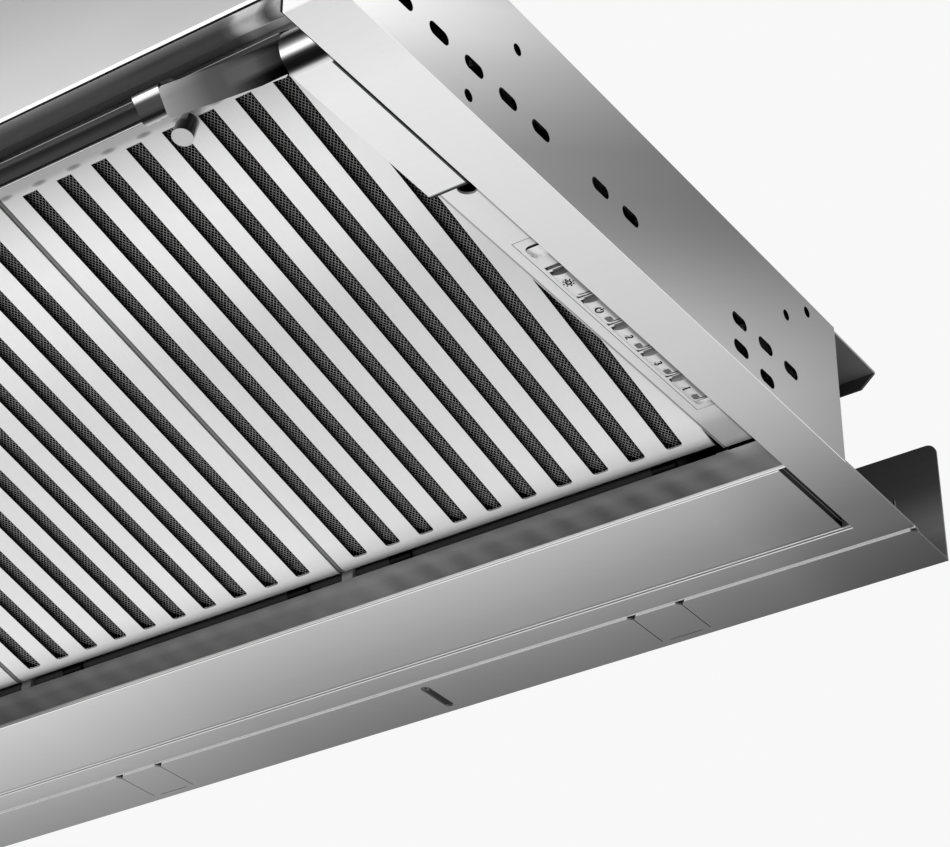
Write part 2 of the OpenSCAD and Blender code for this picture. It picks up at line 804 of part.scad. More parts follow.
// Arm of the visor: flat bar flush with the rim, its front end rolled up
module visor_arm() {
    block([arm_x0, roll_y, 0], [arm_x1, arm_back, arm_t]);
    difference() {
        rod_x(arm_x0, arm_x1, roll_y, roll_r, roll_r);
        rod_x(arm_x0 - cut, arm_x1 + cut, roll_y, roll_r, roll_r - arm_t);
        block([arm_x0 - cut, roll_y, -cut], [arm_x1 + cut, roll_y + 2 * roll_r, 2 * roll_r + cut]);
    }
}

module visor_arm_right() {
    color(steel) visor_arm();
}

module visor_arm_left() {
    color(steel) mirror([1, 0, 0]) visor_arm();
}

// Side plates of the visor with the inner rails of the runners
module visor_rails() {
    x0 = plate_x1 - plate_t;
    y0 = y_front + sheet;
    rail_out = half_w - 2 * sheet - seat;
    color("gray") for (m = [0, 1]) mirror([m, 0, 0]) {
        difference() {
            block([x0, y0, arm_t], [plate_x1, arm_back, arm_t + plate_h]);
            rod_x(x0 - cut, plate_x1 + cut, roll_y, roll_r, roll_r + seat);
            rod_x(x0 - cut, plate_x1 + cut, y_front + hem_r, fascia_z0 + hem_r, hem_r + seat);
        }
        block([x0, arm_back, rail_z0], [plate_x1, arm_back + tail_l, rail_z0 + rail_h]);
        for (z = [rail_z0, rail_z0 + rail_h - sheet])
            block([plate_x1, arm_back + seat, z], [rail_out, arm_back + tail_l, z + sheet]);
    }
}

// Outer channels of the runners on the side walls
module runner_channels() {
    x0 = half_w - sheet - channel_d;
    x1 = half_w - sheet;
    y0 = y_front + sheet;
    y1 = arm_back + tail_l + visor_travel / 2;
    wall_l = y_side - y_front;
    color("gray") for (m = [0, 1]) mirror([m, 0, 0]) difference() {
        block([x0, y0, channel_z0], [x1, y1, channel_z0 + channel_h]);
        block([x0 - cut, y0 - cut, channel_z0 + sheet],
            [x1 - sheet, y1 + cut, channel_z0 + channel_h - sheet]);
        for (i = [0, 1])
            rod_x(x1 - sheet - cut, x1 + cut, y_front + rivet_shares[i][0] * wall_l,
                rivet_shares[i][1] * side_h, rivet_r);
    }
}

// Square profile standing on its corner, centred on the light bar
module on_corner(x0, x1) {
    translate([x0, bar_y, bar_z]) rotate([45, 0, 0]) rotate([90, 0, 90]) linear_extrude(x1 - x0) children();
}

// Light bar between the arms, open along its lower back face
module light_bar() {
    color(dark_steel) difference() {
        on_corner(-arm_x0, arm_x0) difference() {
            square(bar_s, center = true);
            square(bar_s - 2 * bar_wall, center = true);
        }
        on_corner(-lens_x + cut, lens_x - cut)
            translate([-lens_slot / 2, -bar_s / 2 - cut]) square([lens_slot, bar_wall + 2 * cut]);
    }
}

// Frosted strip over the opening of the light bar, with a rib in the opening
module light_lens() {
    color(white) {
        on_corner(-lens_x, lens_x) translate([-lens_w / 2, -bar_s / 2 - lens_t]) square([lens_w, lens_t]);
        on_corner(-lens_x + cut + run, lens_x - cut - run)
            translate([-lens_slot / 2 + run, -bar_s / 2 - lens_t])
                square([lens_slot - 2 * run, lens_t + bar_wall]);
    }
}

// Lamp board inside the light bar
module light_board() {
    color(white) on_corner(-lens_x, lens_x)
        translate([-led_w / 2, bar_s / 2 - bar_wall - led_t]) square([led_w, led_t]);
}

// Polished collars on the light bar
module bar_collars() {
    x1 = arm_x0 - blade_l;
    color(steel) for (m = [0, 1]) mirror([m, 0, 0]) on_corner(x1 - collar_l, x1) difference() {
        polygon(round_box(-collar_s / 2, -collar_s / 2, collar_s / 2, collar_s / 2, collar_round, 6));
        square(bar_s + 2 * run, center = true);
    }
}

// Cover blades between the rolled ends and the collars
module bar_blades() {
    l = blade_l - 2 * seat;
    color(steel) for (m = [0, 1]) mirror([m, 0, 0])
        translate([arm_x0 - seat, blade_y, blade_z]) rotate([135, 0, 0])
            rotate([0, 0, -blade_turn]) linear_extrude(blade_t)
                polygon(round_box(-l, -blade_h / 2, 0, blade_h / 2, collar_round, 4));
}

// Sheet box round the fan, open below
module fan_housing() {
    color(steel) difference() {
        union() {
            block([-house_x, house_y0, lid_z], [house_x, house_y1, house_z]);
            block([-house_x - house_flange, house_y0 - house_flange, lid_z],
                [house_x + house_flange, house_y1 + house_flange, lid_z + sheet]);
        }
        block([-house_x + sheet, house_y0 + sheet, lid_z - cut],
            [house_x - sheet, house_y1 - sheet, house_z - sheet]);
        translate([0, duct_y, house_z - sheet - cut]) cylinder(r = duct_r - duct_wall, h = sheet + 2 * cut);
    }
}

// Spiral outline of the scroll at a wall offset
function spiral_r(a) = scroll_r0 + scroll_grow * (a - scroll_start) / (scroll_end - scroll_start);
function spiral(off) = [for (a = [scroll_start:scroll_step:scroll_end])
    [fan_y + (spiral_r(a) + off) * cos(a), fan_z + (spiral_r(a) + off) * sin(a)]];

// Scroll round the impeller: two side plates with inlets and a spiral wall, open at the top
module fan_scroll() {
    right_y = fan_y + spiral_r(scroll_end);
    cutoff_y = fan_y + spiral_r(scroll_start) * cos(scroll_start);
    outer = concat([[cutoff_y - scroll_wall, scroll_top]], spiral(scroll_wall),
        [[right_y + scroll_wall, scroll_top]]);
    inner = concat([[cutoff_y, scroll_top + cut]], spiral(0), [[right_y, scroll_top + cut]]);
    foot_z = fan_z - spiral_r(scroll_low) - scroll_wall;
    color(dark_steel) {
        difference() {
            across(-scroll_w / 2, scroll_w / 2) polygon(outer);
            across(-scroll_w / 2 + scroll_wall, scroll_w / 2 - scroll_wall) polygon(inner);
            rod_x(-scroll_w, scroll_w, fan_y, fan_z, inlet_r);
        }
        for (s = [-1, 1]) translate([0, fan_y + s * foot_y, 0])
            block([-scroll_w / 2, -foot_w / 2, lid_z], [scroll_w / 2, foot_w / 2, foot_z + foot_up]);
    }
}
foot_y = 30;
foot_w = 12;
foot_up = 4;

// Motor inside the impeller, on a three-armed ring
module fan_motor() {
    x1 = scroll_w / 2;
    color("dimgray") difference() {
        union() {
            rod_x(x1 - motor_l, x1 + sheet, fan_y, fan_z, motor_r);
            difference() {
                rod_x(x1, x1 + sheet, fan_y, fan_z, inlet_r + mount_ring);
                rod_x(x1 - cut, x1 + sheet + cut, fan_y, fan_z, inlet_r - sheet);
            }
            for (a = [30, 150, 270]) translate([x1, fan_y, fan_z]) rotate([a, 0, 0])
                translate([0, -mount_ring, 0]) cube([sheet, 2 * mount_ring, inlet_r]);
        }
        rod_x(x1 - motor_l - cut, x1 - sheet, fan_y, fan_z, shaft_r + run);
    }
}

// Shaft between the motor and the hub
module motor_shaft() {
    color(steel) rod_x(-hub_l / 2 - 2, scroll_w / 2 - 2 * sheet, fan_y, fan_z, shaft_r);
}

// Curved blade of the impeller, as the band between two arcs
blade_arc_r = 9;
blade_steps = 4;
function blade_arc(r, sign) = [for (i = [0:blade_steps])
    let (a = 100 * (sign > 0 ? i : blade_steps - i) / blade_steps)
        [wheel_r - trim_t - blade_depth + blade_arc_r - r * cos(a), r * sin(a) - blade_arc_r / 2]];

// Double inlet impeller: centre disc, forward curved blades and two end rings
module impeller() {
    color("gray") translate([0, fan_y, fan_z]) rotate([0, 90, 0]) {
        difference() {
            union() {
                translate([0, 0, -blade_sheet]) cylinder(r = wheel_r - trim_t, h = 2 * blade_sheet);
                translate([0, 0, -hub_l / 2]) cylinder(r = hub_r, h = hub_l);
                for (a = [0:360 / wheel_blades:359]) rotate([0, 0, a])
                    translate([0, 0, -wheel_w / 2]) linear_extrude(wheel_w)
                        polygon(concat(blade_arc(blade_arc_r, 1), blade_arc(blade_arc_r - blade_sheet, -1)));
                for (z = [-wheel_w / 2, wheel_w / 2 - 2 * blade_sheet]) translate([0, 0, z]) difference() {
                    cylinder(r = wheel_r, h = 2 * blade_sheet);
                    translate([0, 0, -cut])
                        cylinder(r = wheel_r - blade_depth - 2 * trim_t, h = 2 * blade_sheet + 2 * cut);
                }
            }
            translate([0, 0, -hub_l]) cylinder(r = shaft_r + run / 2, h = 2 * hub_l);
        }
    }
}

// Start capacitor on the floor beside the scroll
cap_r = 14;
cap_l = 52;
module capacitor() {
    color("lightgray") translate([-house_x + sheet + cap_r + seat, house_y1 - sheet - cap_r - seat, lid_z])
        cylinder(r = cap_r, h = cap_l);
}

// Round duct collar with its flange and two sockets for the flaps' pin
module duct_collar() {
    inner = duct_r - duct_wall;
    pin_z = damper_z - house_z;
    color("gray") translate([0, duct_y, house_z]) difference() {
        union() {
            difference() {
                union() {
                    cylinder(r = duct_r, h = duct_h, $fn = 96);
                    cylinder(r = duct_r + duct_flange, h = sheet, $fn = 96);
                }
                translate([0, 0, -cut]) cylinder(r = inner, h = duct_h + 2 * cut, $fn = 96);
            }
            for (m = [0, 1]) mirror([m, 0, 0])
                rod_x(inner - socket_l, inner + duct_wall / 2, 0, pin_z, damper_pin_r + socket_wall);
        }
        rod_x(-inner, inner, 0, pin_z, damper_pin_r + run);
        for (a = [45:90:315]) rotate([0, 0, a]) translate([duct_r + duct_flange / 2, 0, -cut])
            cylinder(r = screw_r + run, h = sheet + 2 * cut);
    }
}

// Pin across the duct collar that both flaps turn on
module damper_shaft() {
    x = duct_r - duct_wall - seat;
    color(steel) rod_x(-x, x, duct_y, damper_z, damper_pin_r);
}

// Half round flap with two knuckles, hinged on the pin
module damper_flap(x) {
    difference() {
        union() {
            intersection() {
                translate([0, 0, -damper_t / 2]) cylinder(r = damper_r, h = damper_t, $fn = 96);
                block([-damper_r, damper_pin_r + damper_t, -damper_t], [damper_r, damper_r, damper_t]);
            }
            for (s = [-1, 1]) {
                rod_x(s * x - knuckle_w / 2, s * x + knuckle_w / 2, 0, 0, knuckle_r);
            }
        }
        rod_x(-damper_r - cut, damper_r + cut, 0, 0, damper_pin_r + run);
        for (s = [-1, 1]) {
            other = x == knuckle_in ? knuckle_out : knuckle_in;
            block([s * other - knuckle_w / 2 - 1, -knuckle_r, -knuckle_r],
                [s * other + knuckle_w / 2 + 1, knuckle_r + 1, knuckle_r]);
        }
    }
}
knuckle_in = 20;
knuckle_out = 40;

module damper_rear() {
    color("gray") translate([0, duct_y, damper_z]) damper_flap(knuckle_in);
}

module damper_front() {
    color("gray") translate([0, duct_y, damper_z]) mirror([0, 1, 0]) damper_flap(knuckle_out);
}

// Terminal box on the top cover
term_x = body_w / 3;
term_y = 20;
term_w = body_w / 10;
term_d = 70;
term_h = 34;
gland_r = 8;
module terminal_box() {
    color("dimgray") difference() {
        block([term_x, term_y, lid_z], [term_x + term_w, term_y + term_d, lid_z + term_h]);
        block([term_x + sheet, term_y + sheet, lid_z - cut],
            [term_x + term_w - sheet, term_y + term_d - sheet, lid_z + term_h - sheet]);
        translate([term_x + term_w / 2, term_y + term_d - 2 * sheet, lid_z + term_h / 2]) rotate([-90, 0, 0])
            cylinder(r = gland_r - trim_t, h = 4 * sheet);
    }
}

// Cable gland in the back of the terminal box
gland_l = 14;
module cable_gland() {
    color(black) translate([term_x + term_w / 2, term_y + term_d, lid_z + term_h / 2]) rotate([-90, 0, 0])
        difference() {
            union() {
                cylinder(r = gland_r, h = gland_l * 0.6, $fn = 6);
                cylinder(r = gland_r * 0.8, h = gland_l);
                translate([0, 0, -2 * sheet]) cylinder(r = gland_r - trim_t - run, h = 2 * sheet);
            }
            translate([0, 0, -3 * sheet]) cylinder(r = gland_r / 2, h = gland_l + 4 * sheet);
        }
}

// Driver of the lamps
module led_driver() {
    color(white) block([-term_x - term_w, term_y, lid_z],
        [-term_x + house_flange, term_y + term_d / 2, lid_z + term_h / 2]);
}

// Pan head screws on the back of the body, on the fan housing and on the duct flange
panel_screw_r = 3;
panel_screw_h = 1.6;
back_screw_zs = [24, 34, 46];
module panel_screws() {
    color(steel) {
        for (m = [0, 1]) mirror([m, 0, 0]) {
            for (z = back_screw_zs) translate([half_w - lip_w / 2, y_side, z]) rotate([-90, 0, 0])
                cylinder(r = panel_screw_r, h = panel_screw_h);
            for (y = [house_y0 - house_flange / 2, house_y1 + house_flange / 2])
                for (x = [house_x / 3, house_x])
                    translate([x, y, lid_z + sheet]) cylinder(r = panel_screw_r, h = panel_screw_h);
        }
        for (a = [45:90:315]) translate([0, duct_y, house_z + sheet]) rotate([0, 0, a])
            translate([duct_r + duct_flange / 2, 0, 0]) {
                cylinder(r = panel_screw_r, h = panel_screw_h);
                translate([0, 0, -sheet]) cylinder(r = screw_r, h = sheet);
            }
    }
}

raised() side_panel_right();
raised() side_panel_left();
raised() bottom_frame();
raised() rear_wall();
raised() rear_cover_panel();
raised() rear_hanging_rail();
raised() wall_strip();
raised() strip_screws();
raised() top_cover();
raised() filter_ledge();
raised() filter_rod();
raised() control_strip();
raised() blank_strip();
raised() keypad_bezel();
raised() control_box();
raised() switch_board();
raised() button_light();
raised() button_power();
raised() button_two();
raised() button_three();
raised() button_boost();
raised() filter_1_tray();
raised() filter_2_tray();
raised() filter_3_tray();
raised() filter_4_tray();
raised() filter_1_mesh();
raised() filter_2_mesh();
raised() filter_3_mesh();
raised() filter_4_mesh();
raised() filter_1_knob();
raised() filter_2_knob();
raised() filter_3_knob();
raised() filter_4_knob();
raised() visor_fascia();
raised() visor_slope();
raised() visor_sheet();
raised() visor_arm_right();
raised() visor_arm_left();
raised() visor_rails();
raised() runner_channels();
raised() light_bar();
raised() light_lens();
raised() bar_collars();
raised() bar_blades();
raised() fan_housing();
raised() fan_scroll();
raised() fan_motor();
raised() motor_shaft();
raised() impeller();
raised() capacitor();
raised() duct_collar();
raised() damper_shaft();
raised() damper_front();
raised() damper_rear();
raised() terminal_box();
raised() cable_gland();
raised() led_driver();
raised() panel_screws();
raised() filter_magnets();
raised() light_board();
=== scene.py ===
# %% [markdown]
# # A built-in range hood, looked at from below
# The CAD model brings every solid of the hood: side panels, filters, buttons, the pull-out visor
# and the fan on top. This lesson gives those solids their steel, chrome and plastic, and adds
# what is too fine for CAD: the woven wire in the filter slots, the marks on the keys and the
# recesses of the screws.

import json
import math

import bmesh
import bpy
from mathutils import Matrix, Vector

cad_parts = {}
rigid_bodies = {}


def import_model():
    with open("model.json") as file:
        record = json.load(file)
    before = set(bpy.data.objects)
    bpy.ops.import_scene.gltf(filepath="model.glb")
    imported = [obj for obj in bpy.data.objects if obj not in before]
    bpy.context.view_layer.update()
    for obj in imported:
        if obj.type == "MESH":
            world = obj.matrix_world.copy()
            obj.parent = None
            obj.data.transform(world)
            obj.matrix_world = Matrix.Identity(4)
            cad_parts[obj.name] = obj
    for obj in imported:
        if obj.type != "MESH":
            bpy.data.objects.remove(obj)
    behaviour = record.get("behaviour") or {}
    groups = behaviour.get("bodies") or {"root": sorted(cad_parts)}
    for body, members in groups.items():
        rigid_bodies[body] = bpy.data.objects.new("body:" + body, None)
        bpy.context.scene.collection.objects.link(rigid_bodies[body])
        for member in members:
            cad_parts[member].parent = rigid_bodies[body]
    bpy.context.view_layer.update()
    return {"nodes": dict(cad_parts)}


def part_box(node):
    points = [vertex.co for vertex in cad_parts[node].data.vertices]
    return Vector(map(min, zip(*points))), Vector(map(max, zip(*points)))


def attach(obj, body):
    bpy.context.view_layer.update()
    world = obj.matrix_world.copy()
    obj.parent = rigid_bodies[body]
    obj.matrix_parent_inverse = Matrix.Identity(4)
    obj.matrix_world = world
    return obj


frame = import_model()
nodes = frame["nodes"]

# %% [markdown]
# ## Places
# A scene should not guess where things are. The outer places are read from the boxes of the CAD
# solids, and the few sizes that a box can't tell, such as the slope of the filters, are written
# here once, in metres. An edge that only one finish needs is written beside that finish, in
# millimetres. Heights count from the underside of the rim, which stands a little over zero
# because the wall strip lies under it.

# %% Places read from the solids
MM = 0.001


def corner(node, which):
    """Low (0) or high (1) corner of a CAD node."""
    return Vector(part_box(node)[which])


HALF_W = corner("side_panel_right", 1).x
FRONT = corner("side_panel_right", 0).y
LIFT = corner("bottom_frame", 0).z
WALL_Y = corner("rear_wall", 0).y
FILTER_TILT = math.radians(14.8)
FILTER_L = 260 * MM
FILTER_Y = WALL_Y - 2 * MM
FILTER_Z = 16.7 * MM
SLOTS = 10
SLOT_PITCH = 18.45 * MM
TRAY_W = corner("filter_1_tray", 1).x - corner("filter_1_tray", 0).x
RAIL_Y = WALL_Y + 60 * MM
COVER_X = corner("rear_cover_panel", 1).x
COVER_Y = corner("rear_cover_panel", 0).y
COVER_BACK = corner("rear_cover_panel", 1).y
ARM_X, ARM_BACK = corner("visor_arm_right", 1).x, corner("visor_arm_right", 1).y
BAR_Y, BAR_Z = FRONT + 24.6 * MM, 13.5 * MM
ROLL_Y, ROLL_Z = FRONT + 28.7 * MM, 9.3 * MM
filter_x = [
    (corner(f"filter_{n}_tray", 0).x + corner(f"filter_{n}_tray", 1).x) / 2 for n in (1, 2, 3, 4)
]
print("rim's underside at z", round(LIFT, 5), "filters at x", [round(x, 4) for x in filter_x])

# %% [markdown]
# ## Camera
# The picture is a close view from in front, from the right and from below. A long lens far away
# keeps the slots nearly parallel. Two axes of the camera are written as unit vectors, solved from
# the photograph, and the third follows from them, which avoids a chain of turns.

# %% Camera
right = Vector((0.82686923, 0.56239098, 0.00191505))
down = Vector((-0.30098049, 0.44539535, -0.84322816))
ahead = right.cross(down)
eye = (0.8481, -0.7315, LIFT - 0.5771)
lens = bpy.data.cameras.new("view_from_below")
lens.lens = 100
lens.sensor_width = 36
lens.clip_start = 0.05
lens.clip_end = 50
camera = bpy.data.objects.new("view_from_below", lens)
turn = Matrix((right, -down, -ahead)).transposed().to_4x4()
camera.matrix_world = Matrix.Translation(eye) @ turn
bpy.context.collection.objects.link(camera)
bpy.context.scene.camera = camera
print("camera looks along", tuple(round(v, 3) for v in ahead))

# %% [markdown]
# ## Studio
# The hood hangs in the air, so the floor lies well below it. Steel shows what stands round it:
# an even pale world gives satin steel its plain tone, and two large soft lamps give the folds a
# direction. The world is a little stronger for diffuse light than for the eye and for
# reflections, which see the nearly white background.

# %% World, floor and lamps
world = bpy.data.worlds.new("studio")
world.use_nodes = True
bpy.context.scene.world = world
bpy.context.scene.view_settings.view_transform = "Standard"
tree = world.node_tree
tree.nodes.clear()
out = tree.nodes.new("ShaderNodeOutputWorld")
path = tree.nodes.new("ShaderNodeLightPath")
mix = tree.nodes.new("ShaderNodeMixShader")


def background(grey, strength):
    """A plain background of one grey."""
    made = tree.nodes.new("ShaderNodeBackground")
    made.inputs["Color"].default_value = (grey, grey, grey, 1)
    made.inputs["Strength"].default_value = strength
    return made.outputs[0]


direct = path.outputs["Is Camera Ray"]
for kind in ("Is Glossy Ray", "Is Transmission Ray"):
    either = tree.nodes.new("ShaderNodeMath")
    either.operation = "MAXIMUM"
    tree.links.new(direct, either.inputs[0])
    tree.links.new(path.outputs[kind], either.inputs[1])
    direct = either.outputs[0]
tree.links.new(direct, mix.inputs[0])
tree.links.new(background(1, 0.98), mix.inputs[1])
tree.links.new(background(0.94, 1.0), mix.inputs[2])
tree.links.new(mix.outputs[0], out.inputs["Surface"])


def soft_lamp(name, place, aim, size, power):
    """A square soft lamp at a place, turned to a point."""
    data = bpy.data.lights.new(name, "AREA")
    data.shape = "SQUARE"
    data.size = size
    data.energy = power
    lamp = bpy.data.objects.new(name, data)
    way = Vector(aim) - Vector(place)
    lamp.matrix_world = Matrix.Translation(place) @ way.to_track_quat("-Z", "Y").to_matrix().to_4x4()
    bpy.context.collection.objects.link(lamp)
    return lamp


soft_lamp("front_lamp", (-0.6, -1.9, -0.5), (0, 0, 0.05), 1.4, 14)
soft_lamp("top_lamp", (0.8, -0.6, 1.9), (0, 0, 0.1), 1.6, 8)

# %% [markdown]
# ## Shader maths
# A tone that changes over a surface is a sum of ramps. Written as nodes that is a long list of
# links, so one small class wraps a socket and turns `+`, `-`, `*`, `/` and `**` into Math nodes.
# The levels in the ramps were typed after comparing tones along each face in the render and in
# the photograph, so they belong to this one view. From elsewhere they are only plausible.


# %% A number on a surface
class Tone:
    """A number that varies over a surface. Operators add Math nodes."""

    def __init__(self, finish, socket):
        self.finish, self.socket = finish, socket

    def _op(self, kind, *values):
        return self.finish.node("ShaderNodeMath", {"operation": kind}, *values)

    def __add__(self, other):
        return self._op("ADD", self, other)

    def __sub__(self, other):
        return self._op("SUBTRACT", self, other)

    def __rsub__(self, other):
        return self._op("SUBTRACT", other, self)

    def __mul__(self, other):
        return self._op("MULTIPLY", self, other)

    def __truediv__(self, other):
        return self._op("DIVIDE", self, other)

    def __pow__(self, other):
        return self._op("POWER", self, other)

    def __lt__(self, other):
        return self._op("LESS_THAN", self, other)

    def __gt__(self, other):
        return self._op("GREATER_THAN", self, other)

    __radd__ = __add__
    __rmul__ = __mul__

    def size(self):
        return self._op("ABSOLUTE", self)

    def sine(self):
        return self._op("SINE", self)

    def angle(self, other):
        """Angle in degrees of the point (other, self)."""
        return self._op("ARCTAN2", self, other) * (180 / math.pi)

    def either(self, other):
        return self._op("MAXIMUM", self, other)

    def lowest(self, other):
        return self._op("MINIMUM", self, other)

    def within(self, low, high):
        """1 between two values, else 0."""
        return (self > low) * (self < high)

    def wrapped(self, period):
        """The number folded into one period round zero."""
        return self._op("WRAP", self, period / 2, -period / 2)


# %% A finish
class Finish:
    """A material with one Principled shader, read in the object's own coordinates."""

    def __init__(self, name, **fixed):
        self.material = bpy.data.materials.new(name)
        self.material.use_nodes = True
        self.tree = self.material.node_tree
        self.shader = self.tree.nodes["Principled BSDF"]
        for socket, value in fixed.items():
            self.shader.inputs[socket.replace("_", " ")].default_value = value
        self.place = self.tree.nodes.new("ShaderNodeTexCoord").outputs["Object"]
        split = self.tree.nodes.new("ShaderNodeSeparateXYZ")
        self.tree.links.new(self.place, split.inputs[0])
        self.x, self.y, height = (Tone(self, split.outputs[k]) for k in "XYZ")
        self.z = height - LIFT

    def node(self, kind, settings, *values, output=0):
        """Adds a node: its settings first, then a value or link for each socket."""
        made = self.tree.nodes.new(kind)
        for key, value in settings.items():
            if key == "stops":
                self._stops(made, value)
            else:
                setattr(made, key, value)
        for socket, value in zip(made.inputs, values):
            if isinstance(value, Tone):
                self.tree.links.new(value.socket, socket)
            elif value is not None:
                socket.default_value = value
        return Tone(self, made.outputs[output])

    @staticmethod
    def _stops(made, stops):
        points = made.color_ramp.elements
        while len(points) < len(stops):
            points.new(0.5)
        for point, (at, level) in zip(points, stops):
            point.position = at
            point.color = (level, level, level, 1)

    def ramp(self, value, stops):
        """Grey levels 0 to 255 at given values, as a number from 0 to 1."""
        low, high = stops[0][0], stops[-1][0]
        scaled = (value - low) / (high - low)
        levels = [((at - low) / (high - low), level / 255) for at, level in stops]
        return self.node("ShaderNodeValToRGB", {"stops": levels}, scaled)

    def noise(self, stretch, detail=2.0):
        """Noise stretched by its own scale along each axis."""
        spread = self.node("ShaderNodeVectorMath", {"operation": "MULTIPLY"}, None, stretch)
        self.tree.links.new(self.place, spread.socket.node.inputs[0])
        return self.node("ShaderNodeTexNoise", {}, spread, None, 1.0, detail)

    def paint(self, level):
        """Base Color from a perceived grey level between 0 and 1."""
        self.tree.links.new((level**2.2).socket, self.shader.inputs["Base Color"])

    def rough(self, value):
        """Roughness from a number over the surface."""
        self.tree.links.new(value.socket, self.shader.inputs["Roughness"])

    def bump(self, height, depth, strength=1.0):
        """Height from 0 to 1 over a depth in metres."""
        made = self.tree.nodes.new("ShaderNodeBump")
        made.inputs["Distance"].default_value = depth
        made.inputs["Strength"].default_value = strength
        self.tree.links.new(height.socket, made.inputs["Height"])
        self.tree.links.new(made.outputs[0], self.shader.inputs["Normal"])


def dress(finish, *names):
    """Puts a finish on CAD nodes."""
    for name in names:
        for held in nodes[name].material_slots:
            held.material = finish.material


print("helpers ready")

# %% [markdown]
# ## Brushed steel of the underside
# All flat steel that faces down reflects the same room, so one field of painted reflection and
# shade covers the rims, the cover panel, the arms and the wall strip: pale at the front, darker
# towards the wall and the right. Fine lines along the hood stand for the brushing. Steel is a
# metal, but part of the shader stays diffuse, so that the tone holds under any light.


# %% Underside steel
def painted_room_light(f):
    """Painted reflection and shade of steel that faces down, from its place."""
    along = f.ramp(
        f.y / MM,
        [(-226, 223), (-180, 238), (-140, 231), (-60, 216), (20, 203), (60, 188), (100, 162),
         (140, 126), (160, 106), (180, 95), (205, 75), (226, 62)],
    )
    across = f.ramp(
        f.x / MM,
        [(-120, 78), (0, 73), (60, 63), (100, 53), (160, 48), (280, 47), (330, 42), (380, 33),
         (410, 13), (449, -20)],
    )
    depth = f.ramp(f.y / MM, [(0, 0), (60, 115), (120, 205), (140, 225), (160, 255), (226, 255)])
    return along + across * depth


def brushed(name, level, lines=(40, 900, 900), rough=0.3, **fixed):
    """Satin steel: a tone, fine brushing lines and a little uneven gloss."""
    f = Finish(name, **{"Metallic": 0.55, "Specular_IOR_Level": 0.15, **fixed})
    tone = level(f)
    grain = f.noise(lines)
    cloud = f.noise((9, 9, 9))
    f.paint(tone + (grain - 0.5) * 0.016 + (cloud - 0.5) * 0.01)
    f.rough(rough + grain * 0.1)
    f.bump(grain, 0.00001)
    return f


# On the frame's rear rail: lines of painted highlight and shade behind its front edge, and the
# height of its face and of its end in painted shade
FOLD_NEAR, FOLD_SEAM, FOLD_FAR, HEM = (-0.3, 0.6), (0.6, 1.7), (1.75, 2.6), (16.0, 17.2)
FACE_UP, END_UP = 0.8, 1.5


def underside_level(f):
    """Rims and rail in painted room light; painted highlights and shade on the rail's folded front
    edge and its hem, and painted shade behind the rail and on its outer end.
    """
    run, wide = f.y / MM - RAIL_Y / MM, f.x.size() / MM
    beside = wide < COVER_X / MM + 4
    fold = run.within(*FOLD_NEAR).either(run.within(*FOLD_FAR)) * beside
    seam = run.within(*FOLD_SEAM) * beside
    bright = fold.either(run.within(*HEM) * 0.8) * (f.z / MM < FACE_UP)
    behind = (run > 17.0) * (wide < 445)
    end = (f.z / MM > END_UP) * (wide > 447)
    tone = painted_room_light(f) * (1 - seam * 0.3)
    tone = tone + (0.86 - tone) * bright
    return tone * (1 - behind * 0.9) * (1 - end * 0.5)


# On the cover panel: painted highlight behind its front edge, painted shade before its rear edge,
# and the height of the painted highlight on its end's hem
COVER_LINE, COVER_SEAM, END_HEM = (0.15, 0.95), (0.6, 1.8), (3.2, 3.7)


def cover_level(f):
    """Cover panel: painted highlight lines along its folded edges, painted shade beside them and at
    its front edge, its end painted black as in shade, and a painted highlight on the end's hem.
    """
    front, rear = f.y / MM - COVER_Y / MM, COVER_BACK / MM - f.y / MM
    bright = front.within(*COVER_LINE).either(rear < 0.4)
    dark = rear.within(*COVER_SEAM)
    up = f.z / MM > 0.4
    end = f.x.size() / MM > COVER_X / MM - 0.1
    hem = end * (f.z / MM).within(*END_HEM)
    tone = (painted_room_light(f) + 0.01) * (1 - dark * 0.14)
    level = tone + (0.94 - tone) * bright
    level = level * (1 - (front < 0.1) * 0.45) * (1 - end * up)
    return level + hem * 0.4


dress(brushed("underside_steel", underside_level), "bottom_frame")
dress(brushed("cover_steel", cover_level, Metallic=0.3, Specular_IOR_Level=0.0), "rear_cover_panel")


STRIP_FRONT, STRIP_BACK = 192.55, 225.4


def strip_level(f):
    """Leg of the wall strip in painted room light with a painted highlight on its front edge, and the
    face of its fin in painted shade that deepens as it climbs, lighter past its back edge.
    """
    leg = f.z / MM < 0.05
    front = f.y / MM < STRIP_FRONT
    fin = f.ramp(
        f.z / MM,
        [(0, 122), (5, 111), (9, 113), (15, 125), (21, 117), (27, 99), (33, 78), (39, 60), (45, 54),
         (60, 44)],
    )
    back = f.y / MM > STRIP_BACK
    flat = painted_room_light(f) - 0.01
    flat = flat + (0.84 - flat) * front
    return flat * leg + (fin * (1 - back) + 0.72 * back) * (1 - leg)


dress(brushed("wall_strip_steel", strip_level), "wall_strip")
print("underside steel on the rims, cover panel and wall strip")

# %% [markdown]
# ## Side panels
# The outer wall mirrors a dark stand that runs slantwise across it. The dark band moves
# towards the wall as it climbs, so its ramp reads a slanted coordinate. The fold along the
# bottom edge catches the light as a thin bright line.


# %% Side steel
POST_Y = -224.9


